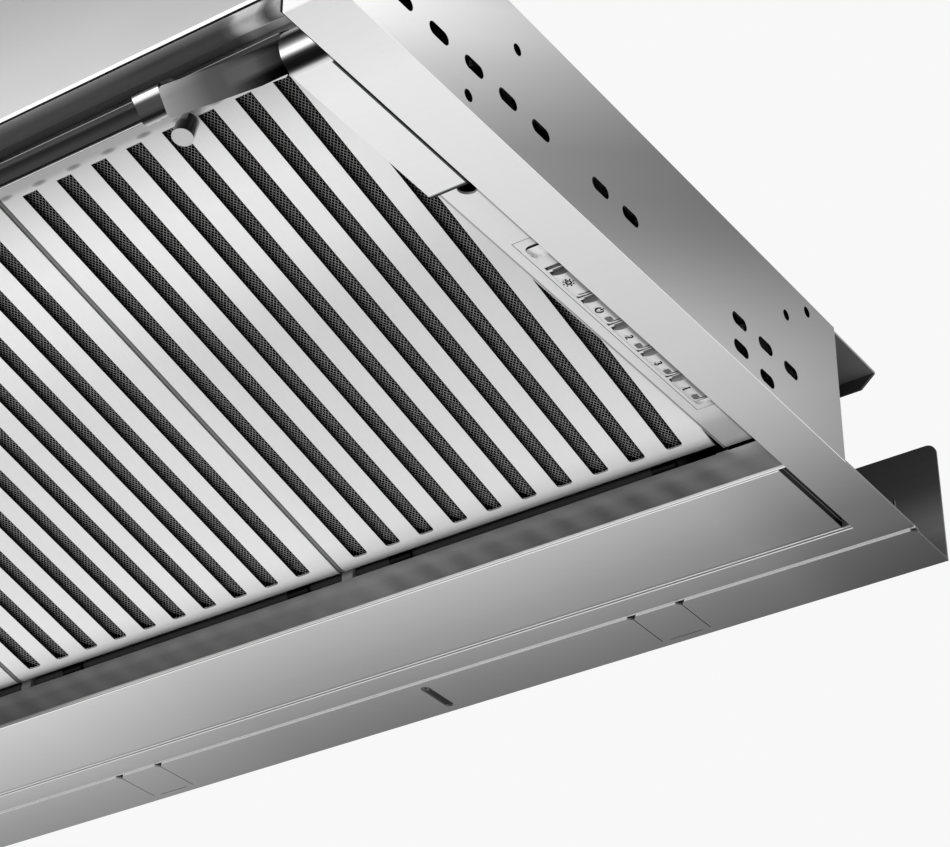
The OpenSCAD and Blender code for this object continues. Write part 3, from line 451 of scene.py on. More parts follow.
def side_level(f):
    """Outer wall with a painted reflection of a slanting dark band, darker as it climbs; painted
    highlights on the bottom fold and the front post, and painted shade inside.
    """
    slant = f.y / MM - f.z / MM * 1.6
    band = f.ramp(
        slant,
        [(-330, 255), (-225, 255), (-205, 233), (-185, 202), (-150, 158), (-125, 132), (-92, 123),
         (-70, 125), (-50, 134), (-25, 149), (5, 163), (35, 169), (65, 166), (90, 155), (127, 134)],
    )
    outer = f.x.size() > HALF_W - 0.06 * MM
    under = f.z / MM < 0.3
    post = f.y / MM < POST_Y
    level = band * (1.036 - f.z * 3.45)
    level = level + (0.96 - level) * under * outer
    level = level + (painted_room_light(f) - level) * under * (1 - outer)
    inside = (1 - outer) * (1 - under)
    level = level * (1 - inside * (0.97 - (f.z / MM > 66) * 0.2))
    return level + (0.95 - level) * post


side_steel = brushed("side_panel_steel", side_level, (900, 30, 900))
dress(side_steel, "side_panel_right", "side_panel_left")

# %% [markdown]
# ## Filters
# Each tray is one pressed sheet. Its face is the palest steel of the hood, with painted light and
# shade along it: its rear edge rolls away into painted dark, a soft spot of painted shade, as
# under a dent, sits at the front end of each bar, and the inside of the tray is painted in shade.
# Thin lines along one side mark the seam to the next tray. The tone is read along the slope, so
# the place is first turned by the angle of the filters.


# %% Filter tray
def slope_run(f):
    """Distance from the rear edge of the filters along their slope, in mm."""
    run = (f.y / MM - FILTER_Y / MM) * math.cos(FILTER_TILT)
    return run - (f.z / MM - FILTER_Z / MM) * math.sin(FILTER_TILT)


def round_axis(f, y, z):
    """Angle in degrees, from 0 to 360, round an axis that runs along X."""
    angle = (f.z / MM - z / MM).angle(f.y / MM - y / MM)
    return angle + 360 * (angle < 0)


def slope_height(f):
    """Height over the underside of the filters, in mm."""
    rise = (f.y / MM - FILTER_Y / MM) * math.sin(FILTER_TILT)
    return rise + (f.z / MM - FILTER_Z / MM) * math.cos(FILTER_TILT)


# On a tray: depth of its outer skin, height of its inside, length of the rear roll, and the
# place and half sizes of the painted shade of a dent
TRAY_SKIN, TRAY_TOP, REAR_ROLL = 0.12, 1.2, 9.4
DENT_RUN, DENT_W, DENT_L = 250.0, 4.6, 1.35


def tray_level(centre):
    """Painted light and shade of a tray whose middle lies at a given x, fainter shade to the right."""

    def level(f):
        run = slope_run(f)
        face = f.ramp(
            run,
            [(-262, 166), (-256, 174), (-251.2, 175), (-250.2, 188), (-249, 206), (-245, 217),
             (-235, 232), (-226, 243), (-208, 249), (-180, 240), (-150, 226), (-130, 223),
             (-60, 229), (-20, 236), (-9, 226), (-5, 190), (-2, 130), (0, 60)],
        )
        height = slope_height(f)
        middle = (f.x - centre).size() / MM < TRAY_W / MM / 2 - 2
        wall = (height > TRAY_SKIN) * (run < -REAR_ROLL) * middle
        inside = (height > TRAY_TOP).either(wall)
        aside = (f.x / MM - centre / MM + 2.0).wrapped(SLOT_PITCH / MM)
        dent_shade = ((aside / DENT_W) ** 2 + ((run + DENT_RUN) / DENT_L) ** 2) ** 0.5
        dark = f.ramp(dent_shade, [(0, 62), (0.5, 45), (1, 0)])
        seam = f.ramp(
            (f.x - centre + TRAY_W / 2) / MM,
            [(0, 128), (0.5, 128), (0.8, 140), (1.2, 125), (1.5, 92), (1.8, 100), (2.2, 255)],
        )
        near = f.ramp(run, [(-175, 0), (-140, 255), (-20, 200)])
        near = near * f.ramp(f.x / MM, [(190, 0), (230, 8), (400, 10)])
        return (face - near - dark) * (1 - inside * 0.85) * seam

    return level


for n, x in enumerate(filter_x, 1):
    tray = brushed(f"filter_{n}_steel", tray_level(x), (900, 40, 900))
    dress(tray, f"filter_{n}_tray")
print("filter trays:", len(filter_x))

# %% [markdown]
# ## Woven wire
# Behind every slot lies a fine wire cloth. A picture of holes would look flat at the slot's
# edges, so the wires are real: Geometry Nodes lay two families of thin wires at opposite slants
# along one slot, repeat that for all slots, tilt it to the filter and set its finish. The
# sizes are inputs of the tree, so another weave is one number away. The wires grow darker
# towards one side of each slot, where the bar beside it shades them.


# %% A tree of Geometry Nodes
class Weave:
    """A Geometry Nodes tree with named number inputs."""

    def __init__(self, name, inputs):
        self.tree = bpy.data.node_groups.new(name, "GeometryNodeTree")
        face = self.tree.interface
        face.new_socket("Geometry", in_out="INPUT", socket_type="NodeSocketGeometry")
        face.new_socket("Geometry", in_out="OUTPUT", socket_type="NodeSocketGeometry")
        self.ids = {}
        for key, (kind, value) in inputs.items():
            socket = face.new_socket(key, in_out="INPUT", socket_type=kind)
            socket.default_value = value
            self.ids[key] = socket.identifier
        self.inlet = self.tree.nodes.new("NodeGroupInput")
        self.outlet = self.tree.nodes.new("NodeGroupOutput")

    def get(self, key):
        """The tree's own input of that name."""
        return self.inlet.outputs[key]

    def add(self, kind, settings=None, **values):
        """Adds a node; sockets are named with _ for a space."""
        made = self.tree.nodes.new(kind)
        for key, value in (settings or {}).items():
            setattr(made, key, value)
        for key, value in values.items():
            socket = made.inputs[key.replace("_", " ")]
            if isinstance(value, (list, tuple)) and hasattr(value[0], "links"):
                for one in value:
                    self.tree.links.new(one, socket)
            elif hasattr(value, "links"):
                self.tree.links.new(value, socket)
            else:
                socket.default_value = value
        return made

    def end(self, geometry, material):
        """Makes the instances real, sets their finish and hands them out."""
        real = self.add("GeometryNodeRealizeInstances", Geometry=geometry)
        dressed = self.add("GeometryNodeSetMaterial", Geometry=real.outputs[0], Material=material)
        self.tree.links.new(dressed.outputs[0], self.outlet.inputs[0])


def woven(name, weave, values, start=None):
    """Runs a tree on a mesh and returns the result as a plain mesh object."""
    carrier = bpy.data.objects.new(name + "_carrier", start or bpy.data.meshes.new(name + "_start"))
    bpy.context.collection.objects.link(carrier)
    modifier = carrier.modifiers.new("weave", "NODES")
    modifier.node_group = weave.tree
    for key, value in values.items():
        modifier[weave.ids[key]] = value
    bpy.context.view_layer.update()
    done = carrier.evaluated_get(bpy.context.evaluated_depsgraph_get())
    mesh = bpy.data.meshes.new_from_object(done)
    mesh.name = name
    made = bpy.data.objects.new(name, mesh)
    bpy.context.collection.objects.link(made)
    bpy.data.objects.remove(carrier)
    return made


# %% The wire cloth
CLOTH_LEFT, CLOTH_RUN, CLOTH_UP = 1.2 * MM, 248.3 * MM, 3.7 * MM
wire = Finish("filter_wire", Metallic=0.3, Roughness=0.4)
in_filter = (wire.x / MM - filter_x[0] / MM).wrapped((filter_x[1] - filter_x[0]) / MM)
in_slot = (in_filter + SLOT_PITCH / MM / 2).wrapped(SLOT_PITCH / MM)
lit = wire.ramp(
    in_slot,
    [(-9.2, 36), (-7.4, 56), (-5.7, 100), (-4.7, 145), (-3.7, 178), (-2.7, 198), (-0.7, 202),
     (0.3, 184), (1.3, 115), (7, 100)],
)
wire.paint(lit + (wire.noise((700, 700, 700)) - 0.5) * 0.1)
# Half the spacing of the openings across and along a slot
ACROSS, ALONG = 0.875, 1.095
cloth = Weave(
    "wire_cloth",
    {
        "Slots": ("NodeSocketInt", SLOTS),
        "Slot Pitch": ("NodeSocketFloat", SLOT_PITCH),
        "Wires": ("NodeSocketInt", 111),
        "Wire Pitch": ("NodeSocketFloat", 2 * ALONG * MM),
        "Wire Radius": ("NodeSocketFloat", 0.09 * MM),
        "Wire Length": ("NodeSocketFloat", 20 * MM),
        "Slant": ("NodeSocketFloat", math.atan2(ACROSS, ALONG)),
        "Tilt": ("NodeSocketFloat", -FILTER_TILT),
        "Place": ("NodeSocketVector", (0, 0, 0)),
    },
)
rod = cloth.add("GeometryNodeMeshCylinder", Vertices=6, Radius=cloth.get("Wire Radius"),
                Depth=cloth.get("Wire Length"))
step = cloth.add("ShaderNodeCombineXYZ", Y=cloth.get("Wire Pitch"))
row = cloth.add("GeometryNodeMeshLine", Count=cloth.get("Wires"), Offset=step.outputs[0])
families = []
for side, lift in ((1, 0.1), (-1, -0.1)):
    slant = cloth.add("ShaderNodeMath", {"operation": "MULTIPLY"})
    cloth.tree.links.new(cloth.get("Slant"), slant.inputs[0])
    slant.inputs[1].default_value = side
    lean = cloth.add("ShaderNodeCombineXYZ", X=math.pi / 2, Z=slant.outputs[0])
    laid = cloth.add("GeometryNodeInstanceOnPoints", Points=row.outputs[0], Instance=rod.outputs[0],
                     Rotation=lean.outputs[0])
    moved = cloth.add("GeometryNodeTransform", Geometry=laid.outputs[0],
                      Translation=(0, 0, lift * MM))
    families.append(moved.outputs[0])
both = cloth.add("GeometryNodeJoinGeometry", Geometry=families)
aside = cloth.add("ShaderNodeCombineXYZ", X=cloth.get("Slot Pitch"))
slots = cloth.add("GeometryNodeMeshLine", Count=cloth.get("Slots"), Offset=aside.outputs[0])
repeated = cloth.add("GeometryNodeInstanceOnPoints", Points=slots.outputs[0],
                     Instance=both.outputs[0])
lean_all = cloth.add("ShaderNodeCombineXYZ", X=cloth.get("Tilt"))
tilted = cloth.add("GeometryNodeTransform", Geometry=repeated.outputs[0],
                   Rotation=lean_all.outputs[0], Translation=cloth.get("Place"))
cloth.end(tilted.outputs[0], wire.material)

for n, x in enumerate(filter_x, 1):
    start = Vector((
        x - SLOT_PITCH * (SLOTS - 1) / 2 - CLOTH_LEFT,
        FILTER_Y - CLOTH_RUN * math.cos(FILTER_TILT) + CLOTH_UP * math.sin(FILTER_TILT),
        LIFT + FILTER_Z + CLOTH_RUN * math.sin(FILTER_TILT) + CLOTH_UP * math.cos(FILTER_TILT),
    ))
    piece = woven(f"filter_{n}_wire_cloth", cloth, {"Place": start})
    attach(piece, f"filter_{n}")
    print(piece.name, "triangles:", sum(len(p.vertices) - 2 for p in piece.data.polygons))

# The plate behind the wires is painted nearly black, as the shade deep in the hood behind them
mesh_shade = Finish("filter_mesh_shade", Roughness=0.9, Specular_IOR_Level=0.0)
mesh_shade.paint(0.025 + (mesh_shade.noise((300, 300, 300)) - 0.5) * 0.02)
dress(mesh_shade, *[f"filter_{n}_mesh" for n in (1, 2, 3, 4)])

# %% [markdown]
# ## Turned knobs
# A knob is turned and polished, so it mirrors a dark band across its side, painted here as a
# reflection with a painted highlight at its root, while its end face is flat and pale. Each knob
# has one finish for both: the distance along the knob tells the end face from the side, and the
# angle round it places the band.


# %% Knobs
# Distance from the front edge of a filter, and height of the end face, in mm
KNOB_RUN, KNOB_FACE = 12.4, -9.7
for n, x in enumerate(filter_x, 1):
    knob = Finish(f"filter_{n}_knob_steel", Metallic=0.6, Specular_IOR_Level=0.15)
    run, height = slope_run(knob), slope_height(knob)
    around = (run + FILTER_L / MM - KNOB_RUN).angle(knob.x / MM - x / MM)
    # Painted reflection: a dark band round the side, with a painted highlight at the root
    side = knob.ramp(
        around,
        [(-180, 150), (-110, 165), (-90, 150), (-70, 112), (-50, 74), (-30, 42), (-10, 66), (10, 125),
         (30, 140), (60, 150), (180, 150)],
    )
    root = knob.ramp(height, [(-4.5, 0), (-2.5, 90), (0, 110)]) * (around < -45)
    side = side + root
    flat = height < KNOB_FACE
    knob.paint(side + (0.8 - side) * flat + (knob.noise((500, 500, 500)) - 0.5) * 0.02)
    knob.rough(0.16 + flat * 0.2)
    dress(knob, f"filter_{n}_knob")

# %% [markdown]
# ## The visor
# The front panel is pale satin steel with a rolled lower edge that shines with a painted
# highlight. Behind it the curved panel looks into the dark hood, so it is painted nearly black
# and only its ends carry a painted reflection of the room. The arms share the painted tone of
# the underside, with painted shade on the bend at their rear end; their rolled ends and the
# collars are polished, and show a painted white and black reflection band that follows the
# angle round their axis.


# %% Front panel
HEM_LOW, HEM_TOP = 11.85, 13.0


def fascia_level(f):
    """Front panel: painted shade that darkens it to the right and as it climbs, a painted highlight
    on the rolled edge below, and painted shade inside and under the roll.
    """
    face = f.ramp(f.x / MM, [(-430, 206), (150, 215), (300, 205), (345, 199), (380, 190), (426, 181)])
    lift = f.ramp(f.z / MM, [(13, 0), (24, 8), (32, 11), (48, 23), (64, 34), (95, 45)])
    hem = (f.z / MM).within(HEM_LOW, HEM_TOP)
    below = f.z / MM < HEM_LOW
    inner = (f.y / MM > FRONT / MM + 1.1) * (f.z / MM > HEM_TOP)
    level = face - lift
    level = level + (1.0 - level) * hem
    return level * (1 - inner * 0.6) * (1 - below * 0.9)


dress(brushed("front_panel_steel", fascia_level), "visor_fascia")


# %% Curved panel behind it
def slope_level(f):
    """Dark panel in painted shade; the painted shine at its ends leans inwards as it climbs."""
    climb = f.ramp(
        f.z / MM,
        [(10, 105), (14, 96), (18, 78), (24, 70), (30, 62), (36, 57), (42, 54), (55, 51), (95, 40)],
    )
    lean = f.ramp(f.z / MM, [(12, 0), (15, 0), (21, 80), (30, 155), (45, 255)]) * 27.5
    glow = f.ramp(f.z / MM, [(15, 255), (24, 245), (32, 215), (45, 175)])
    shine = f.ramp(
        f.x.size() / MM + lean,
        [(340, 0), (396, 0), (399.5, 20), (402, 70), (404.5, 102), (407, 118), (410, 112), (413, 65),
         (415.5, 18), (417, 32), (419.5, 80), (422.5, 135), (430, 160)],
    )
    return (climb * 1.4 + shine * glow * 1.58).lowest(0.98)


matt = {"Metallic": 0.0, "Specular_IOR_Level": 0.0}
dress(brushed("curved_panel_steel", slope_level, rough=0.7, **matt), "visor_slope")


# %% Arms with rolled ends
# Depth of the arm's flank, with its painted highlight, and width of the painted shade beside it
ARM_SKIN, ARM_EDGE = 0.06, 0.75


def arm_level(f):
    """Arm: the painted tone of the underside, painted reflection bands on the polished roll in
    front, painted shade on its rear bend, and a painted highlight and shade beside the rim.
    """
    roll = f.ramp(
        round_axis(f, ROLL_Y, ROLL_Z),
        [(90, 120), (150, 230), (161, 220), (167, 110), (174, 24), (180, 50), (186, 78), (194, 140),
         (201, 205), (209, 222), (214, 176), (219, 95), (224, 34), (234, 8), (243, 8), (250, 62),
         (258, 205), (266, 236), (274, 236)],
    )
    rolled = f.y < ROLL_Y
    level = painted_room_light(f) + 0.01
    bend = f.ramp(f.y / MM - ARM_BACK / MM, [(-1.7, 0), (-1.1, 120), (-0.7, 190), (0, 190)])
    level = level + (roll - level) * rolled - bend
    rim_side = f.x.size() / MM - ARM_X / MM
    flank = (rim_side > -ARM_SKIN) * (1 - rolled)
    edge = (rim_side > -ARM_EDGE) * (1 - flank) * (1 - rolled)
    gleam = f.ramp(f.z / MM, [(0, 10), (0.5, 10), (0.7, 165), (1.5, 165), (1.8, 10)])
    level = level * (1 - edge * 0.7)
    return level + (gleam - level) * flank


dress(brushed("arm_steel", arm_level), "visor_arm_right", "visor_arm_left")

# %% Light bar, lens, collars and blades
bar = Finish("light_bar_steel", Metallic=0.5, Roughness=0.35, Specular_IOR_Level=0.15)
# Painted reflection: a tone for each angle round the bar
bar_tone = bar.ramp(
    round_axis(bar, BAR_Y, BAR_Z),
    [(90, 60), (150, 50), (175, 60), (177.5, 152), (181, 152), (183, 52), (187, 60), (195, 66),
     (201, 40), (208, 26), (216, 32), (226, 38), (236, 48), (248, 54), (258, 52), (262, 60),
     (264.5, 8), (300, 8)],
)
bar.paint(bar_tone + (bar.noise((30, 900, 900)) - 0.5) * 0.02)
dress(bar, "light_bar")

frosted = Finish("frosted_lens", Roughness=0.4)
aside, above = frosted.y / MM - BAR_Y / MM, frosted.z / MM - BAR_Z / MM
proud, over = (aside - above) / math.sqrt(2), (aside + above) / math.sqrt(2)
LENS_FACE, LENS_EDGE = 4.08, -1.5
shadow = (proud < LENS_FACE).either(over > LENS_EDGE)
frosted.paint(0.96 - shadow * 0.55 + (frosted.noise((60, 60, 60)) - 0.5) * 0.02)
dress(frosted, "light_lens")

chrome = Finish("collar_chrome", Metallic=0.7, Specular_IOR_Level=0.15)
# Painted reflection: bright and dark facets for each angle round the collar
facet_reflections = chrome.ramp(
    round_axis(chrome, BAR_Y, BAR_Z),
    [(90, 200), (150, 170), (164, 150), (172, 60), (180, 90), (187, 225), (193, 245), (199, 215),
     (205, 95), (210, 68), (241, 64), (250, 52), (254, 28), (259, 20), (265, 80), (271, 165),
     (277, 220), (330, 150)],
)
chrome.paint(facet_reflections + (chrome.noise((400, 400, 400)) - 0.5) * 0.01)
chrome.rough(0.14 + chrome.noise((80, 80, 80)) * 0.06)
dress(chrome, "bar_collars")


BLADE_END = 357.9


def blade_level(f):
    """Cover blade: painted reflection darker towards the arm, a painted highlight streak along its
    middle and top, painted shade on its inner end and a painted highlight on its bottom edge.
    """
    x, z = f.x.size() / MM, f.z / MM
    along = f.ramp(
        x,
        [(357, 141), (358, 137), (362, 125), (370, 106), (378, 80), (386, 74), (394, 46), (402, 17),
         (410, 2)],
    )
    streak = f.ramp(x, [(384, 0), (394, 38), (398, 48), (404, 42), (410, 34)])
    streak = streak * f.ramp(z, [(3, 0), (4.6, 255), (7.5, 255), (9.2, 100), (11, 60)])
    upper = f.ramp(z, [(8, 0), (10, 20), (12, 38)]) * f.ramp(x, [(357, 255), (372, 150), (380, 0)])
    edge = x < BLADE_END
    level = (along + streak + upper) * (1 - edge * 0.95)
    return level + (0.75 - level) * (z < 0.9) * (1 - edge)


dress(brushed("blade_steel", blade_level, Metallic=0.3, Specular_IOR_Level=0.0), "bar_blades")
print("visor dressed")

# %% [markdown]
# ## Control strip and keys
# The keys are satin caps on a moulded frame. Their marks are generic: a lamp, a power sign and
# the numbers 2, 3 and I, and all but the lamp have a small window beside them. Each mark and
# each window is a thin raised piece on its own key, so it travels with the key when that is
# pressed.


# %% Strip and key finishes
def strip_tone(f):
    """Painted light of the strip along the hood's depth, in painted shade towards the rear."""
    return f.ramp(
        f.y / MM,
        [(-151, 238), (-110, 234), (-80, 227), (-52, 222), (-20, 217), (20, 217), (50, 213), (72, 210),
         (82, 212), (88, 216), (96, 203), (104, 208), (116, 208)],
    )


STRIP_INSIDE = 19.75


def channel_level(f):
    """The strip, with painted shade on the folds along its two sides and inside it."""
    side = f.ramp(
        f.x.size() / MM,
        [(398.4, 20), (398.9, 40), (399.2, 100), (399.5, 30), (399.8, 0), (411.2, 0), (411.9, 8),
         (412.4, 75), (413.0, 50)],
    )
    inner = f.z / MM > STRIP_INSIDE
    return (strip_tone(f) - side) * (1 - inner * 0.85)


dress(brushed("control_strip_steel", channel_level), "control_strip", "blank_strip")

KEYS = ["light", "power", "two", "three", "boost"]
key_y = [(corner(f"button_{k}", 0).y + corner(f"button_{k}", 1).y) / 2 for k in KEYS]
key_x = (corner("button_light", 0).x + corner("button_light", 1).x) / 2
key_z = corner("button_light", 0).z
KEY_PITCH = key_y[1] - key_y[0]


def keypad_shade(f):
    """Light falls off towards the rim, beside which the keys lie in shadow."""
    return f.ramp(f.x / MM, [(398, 0), (409.8, 0), (411.6, 18), (412.3, 64), (412.8, 94), (420, 104)])


# Places on the keypad: underside of its pit, row of keys, pockets and the mouths of painted shade
# beside them, the painted groove shade and ends of a cap, and where ribs, groove shade and rear
# ends start from the middle
PIT_Z = 18.8
KEY_ROW = (-35, 80)
POCKET_Y, MOUTH_Y = (-47, 77.2), (-50.1, 73.6)
GROOVE, CAP_REAR, CAP_FRONT = (6.7, 7.35), 8.15, -8.35
RIB_X, GROOVE_X, CAP_REAR_X = 408.0, 408.2, 408.6


def near_ends(f, places, reach):
    """1 within reach of one of two places along the hood's depth."""
    first, second = places
    return (f.y / MM - first).size().lowest((f.y / MM - second).size()) < reach


def frame_level(f):
    """The frame: painted shade on ribs between the keys and in its pit, and two pockets at its ends
    painted pale inside with painted shade at their mouths.
    """
    pit = f.z / MM > PIT_Z
    rel = (f.y / MM - key_y[0] / MM + KEY_PITCH / MM / 2).wrapped(KEY_PITCH / MM)
    between = (f.y / MM).within(*KEY_ROW) * (f.x / MM > RIB_X)
    rib = rel.within(-0.2, 0.8) * between * (1 - pit)
    pocket, mouth = near_ends(f, POCKET_Y, 5), near_ends(f, MOUTH_Y, 1.4)
    level = strip_tone(f) - keypad_shade(f)
    level = level * (1 - rib * 0.55) * (1 - pit * 0.3)
    bright = pit * pocket * (1 - mouth)
    level = level + (0.93 - keypad_shade(f) - level) * bright
    return level * (1 - pit * pocket * mouth * 0.95)


def cap_level(f):
    """A cap: pale top with painted shade towards the rim, two lines of painted shade as grooves at
    its rear end, and a front end face painted grey as in shade.
    """
    along = (f.y / MM - key_y[0] / MM).wrapped(KEY_PITCH / MM)
    top = strip_tone(f) + 0.02 - keypad_shade(f)
    groove_shade = along.within(*GROOVE) * (f.x / MM > GROOVE_X)
    rear = (along > CAP_REAR) * (f.x / MM > CAP_REAR_X)
    top = top * (1 - (groove_shade.either(rear)) * 0.85)
    end = f.ramp(f.y / MM, [(-40, 130), (-9, 165), (14, 185), (36, 200), (60, 215)])
    front = along < CAP_FRONT
    return top + (end - top) * front


dress(brushed("key_frame_satin", frame_level), "keypad_bezel")
dress(brushed("key_cap_satin", cap_level), *[f"button_{k}" for k in KEYS])
print("keys at y", [round(y, 4) for y in key_y])


# %% Marks on the keys
def stroke(bm, points, wide, closed=False):
    """A flat stroke with real thickness along points on the XY plane, facing down."""
    count = len(points)
    rings = []
    for i, p in enumerate(points):
        before = points[(i - 1) % count] if closed or i else p
        after = points[(i + 1) % count] if closed or i < count - 1 else p
        way = (Vector(after) - Vector(before)).normalized()
        side = Vector((-way.y, way.x)) * wide / 2
        ring = []
        for s, z in ((1, 0), (-1, 0), (-1, 0.1 * MM), (1, 0.1 * MM)):
            ring.append(bm.verts.new((p[0] + s * side.x, p[1] + s * side.y, z)))
        rings.append(ring)
    for i in range(count if closed else count - 1):
        a, b = rings[i], rings[(i + 1) % count]
        for j in range(4):
            bm.faces.new((a[j], a[(j + 1) % 4], b[(j + 1) % 4], b[j]))
    if not closed:
        bm.faces.new(rings[0])
        bm.faces.new(list(reversed(rings[-1])))


def arc(cx, cy, r, start, end, steps=14):
    """Points along an arc between two angles in degrees."""
    return [
        (cx + r * math.cos(math.radians(start + (end - start) * i / steps)),
         cy + r * math.sin(math.radians(start + (end - start) * i / steps)))
        for i in range(steps + 1)
    ]


SUN = arc(0, 0, 1.1, 0, 360)[:-1]
RAYS = [
    [(reach * math.cos(a), reach * math.sin(a)) for reach in (1.75, 2.5)]
    for a in (math.pi * k / 4 for k in range(8))
]
# Strokes of each mark in mm, read with the top of the sign towards +Y; only the sun is closed
MARKS = {
    "light": [SUN, *RAYS],
    "power": [arc(0, 0, 1.6, 125, 415), [(0, 0.4), (0, 2.2)]],
    "two": [arc(0, 0.75, 0.75, 165, -35, 10) + [(-0.8, -1.5), (0.85, -1.5)]],
    "three": [arc(0, 0.75, 0.7, 150, -80, 10) + arc(0, -0.72, 0.82, 80, -150, 10)],
    "boost": [[(0, -1.5), (0, 1.5)], [(-0.5, -1.5), (0.5, -1.5)], [(-0.5, 1.5), (0.5, 1.5)]],
}
LAMP = [(0, -1.4), (0, 1.4)]
MARK_WIDE, LAMP_WIDE = 0.62 * MM, 2.8 * MM
MARK_X, MARK_Y, MARK_Z = key_x - 2.3 * MM, -2.3 * MM, key_z - 0.05 * MM
LAMP_Y = MARK_Y + 7.2 * MM


def key_piece(name, finish, y, strokes, wide):
    """A thin raised piece on a key, from strokes of one width."""
    bm = bmesh.new()
    for points in strokes:
        # Seen from below, the top of a sign points to the side and it reads towards the wall
        stroke(bm, [(py * MM, px * MM) for px, py in points], wide, closed=points is SUN)
    bmesh.ops.translate(bm, verts=bm.verts, vec=(MARK_X, y, MARK_Z))
    bmesh.ops.recalc_face_normals(bm, faces=bm.faces)
    mesh = bpy.data.meshes.new(name)
    bm.to_mesh(mesh)
    bm.free()
    mesh.materials.append(finish.material)
    piece = bpy.data.objects.new(name, mesh)
    bpy.context.collection.objects.link(piece)
    return piece


ink = Finish("key_mark_ink", Roughness=0.8, Specular_IOR_Level=0.0)
ink.paint(0.03 + (ink.noise((900, 900, 900)) - 0.5) * 0.03)
smoke = Finish("key_lamp_window", Roughness=0.4, Specular_IOR_Level=0.2)
smoke.paint(0.39 + (smoke.noise((900, 900, 900)) - 0.5) * 0.03)
for key, y in zip(KEYS, key_y):
    mark = key_piece(f"key_{key}_mark", ink, y + MARK_Y, MARKS[key], MARK_WIDE)
    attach(mark, "key_" + key)
    if key != "light":
        lamp = key_piece(f"key_{key}_lamp", smoke, y + LAMP_Y, [LAMP], LAMP_WIDE)
        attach(lamp, "key_" + key)
print("marks:", KEYS)

# %% [markdown]
# ## Rear parts
# The rear wall faces the filters and mirrors their slots as blurred slanting shadows, painted
# into its colour with a painted glint along its foot. The hanging rail behind the body is dark,
# with painted shade on its turned down edge.


# %% Rear wall and hanging rail
# The corner of the rear wall over the strips' ends, in metres, and its heights in mm
HIDDEN_X, HIDDEN_Y, HIDDEN_Z = 385 * MM, WALL_Y + 11.3 * MM, (17.2, 30)


def rear_level(f):
    """Rear wall in painted shade that lightens as it climbs and towards the right, painted slot
    reflections, a painted glint along its foot, and painted shade in the corner that the light
    doesn't reach.
    """
    base = f.ramp(f.z / MM, [(0, 82), (3, 88), (9, 92), (14, 116), (16.6, 136), (18, 150), (68, 150)])
    right_end = f.ramp(
        f.x / MM,
        [(-100, 0), (0, 2), (40, 9), (100, 15), (160, 19), (200, 29), (240, 25), (290, 19), (350, 14),
         (385, 19), (400, 30), (426, 42)],
    )
    slanted = f.x / MM + f.z / MM * 1.2 + f.noise((30, 30, 30)) * 6
    streak = (slanted * (2 * math.pi * MM / SLOT_PITCH)).sine()
    near = f.z / MM < 16
    foot = f.z / MM < 0.9
    level = base + right_end + streak * 0.02 * near
    glint = f.ramp(f.x / MM, [(-100, 110), (0, 125), (60, 195), (400, 230)])
    level = level + (glint - level) * foot
    hidden = (f.y < HIDDEN_Y) * (f.z / MM).within(*HIDDEN_Z) * (f.x.size() > HIDDEN_X)
    return level * (1 - hidden * 0.95)


dress(brushed("rear_wall_steel", rear_level), "rear_wall")


LIP_Z, RAIL_TOP = 65.5, 66.7


def rail_level(f):
    """Hanging rail: dark below, with painted shade on its turned down edge and a lighter top."""
    under = f.ramp(f.x.size() / MM, [(0, 110), (430, 130), (449, 138)])
    lip = f.z / MM < LIP_Z
    top = f.z / MM > RAIL_TOP
    return under * (1 - lip * 0.5) + top * 0.25


dress(brushed("hanging_rail_steel", rail_level), "rear_hanging_rail")

# %% [markdown]
# ## Parts above the rim
# The top of a hood is never seen in a kitchen. It is plain zinc coated sheet, which shows pale
# crystals, with moulded plastic round the fan. Cells of a Voronoi pattern give each crystal its
# own tone and gloss.


# %% Zinc sheet and plastics
zinc = Finish("zinc_sheet", Metallic=0.5)
cells = zinc.node("ShaderNodeTexVoronoi", {"feature": "F1"}, None, None, 90.0, output=1)
zinc.tree.links.new(zinc.place, cells.socket.node.inputs["Vector"])
crystal = zinc.node("ShaderNodeRGBToBW", {}, cells)
zinc.paint(0.68 + (crystal - 0.5) * 0.12 + (zinc.noise((20, 20, 20)) - 0.5) * 0.05)
zinc.rough(0.34 + crystal * 0.16)
dress(zinc, "top_cover", "fan_housing", "filter_ledge")


def moulded(name, level, grain=600, rough=0.5, **fixed):
    """Moulded plastic or cast metal: one tone with fine pitting."""
    f = Finish(name, **fixed)
    pits = f.noise((grain, grain, grain))
    f.paint(level + (pits - 0.5) * 0.05 + (f.noise((15, 15, 15)) - 0.5) * 0.02)
    f.rough(rough + (pits - 0.5) * 0.15)
    f.bump(pits, 0.00006, 0.6)
    return f


dress(moulded("grey_moulding", 0.4), "control_box", "fan_scroll", "terminal_box", "impeller")
dress(moulded("collar_moulding", 0.46), "duct_collar", "damper_front", "damper_rear")
dress(moulded("black_rubber", 0.15, 300), "cable_gland")
dress(moulded("black_zinc", 0.12, 900, 0.6, Specular_IOR_Level=0.1), "runner_channels", "visor_rails")
dress(moulded("white_moulding", 0.86, 900, 0.4), "led_driver")
dress(moulded("green_board", 0.3, 400, 0.45), "switch_board", "light_board")
dress(moulded("motor_iron", 0.3, 250, 0.5, Metallic=0.4), "fan_motor", "filter_magnets")
dress(moulded("can_aluminium", 0.8, 900, 0.35, Metallic=0.5), "capacitor")
dress(moulded("bright_steel", 0.74, 900, 0.25, Metallic=0.7), "motor_shaft", "damper_shaft")
dress(moulded("screw_steel", 0.66, 900, 0.35, Metallic=0.6), "panel_screws")
# A copy of the screw steel painted darker, as the shade in the wall strip's slots
dress(moulded("strip_screw_steel_in_shade", 0.3, 900, 0.35, Metallic=0.6), "strip_screws")

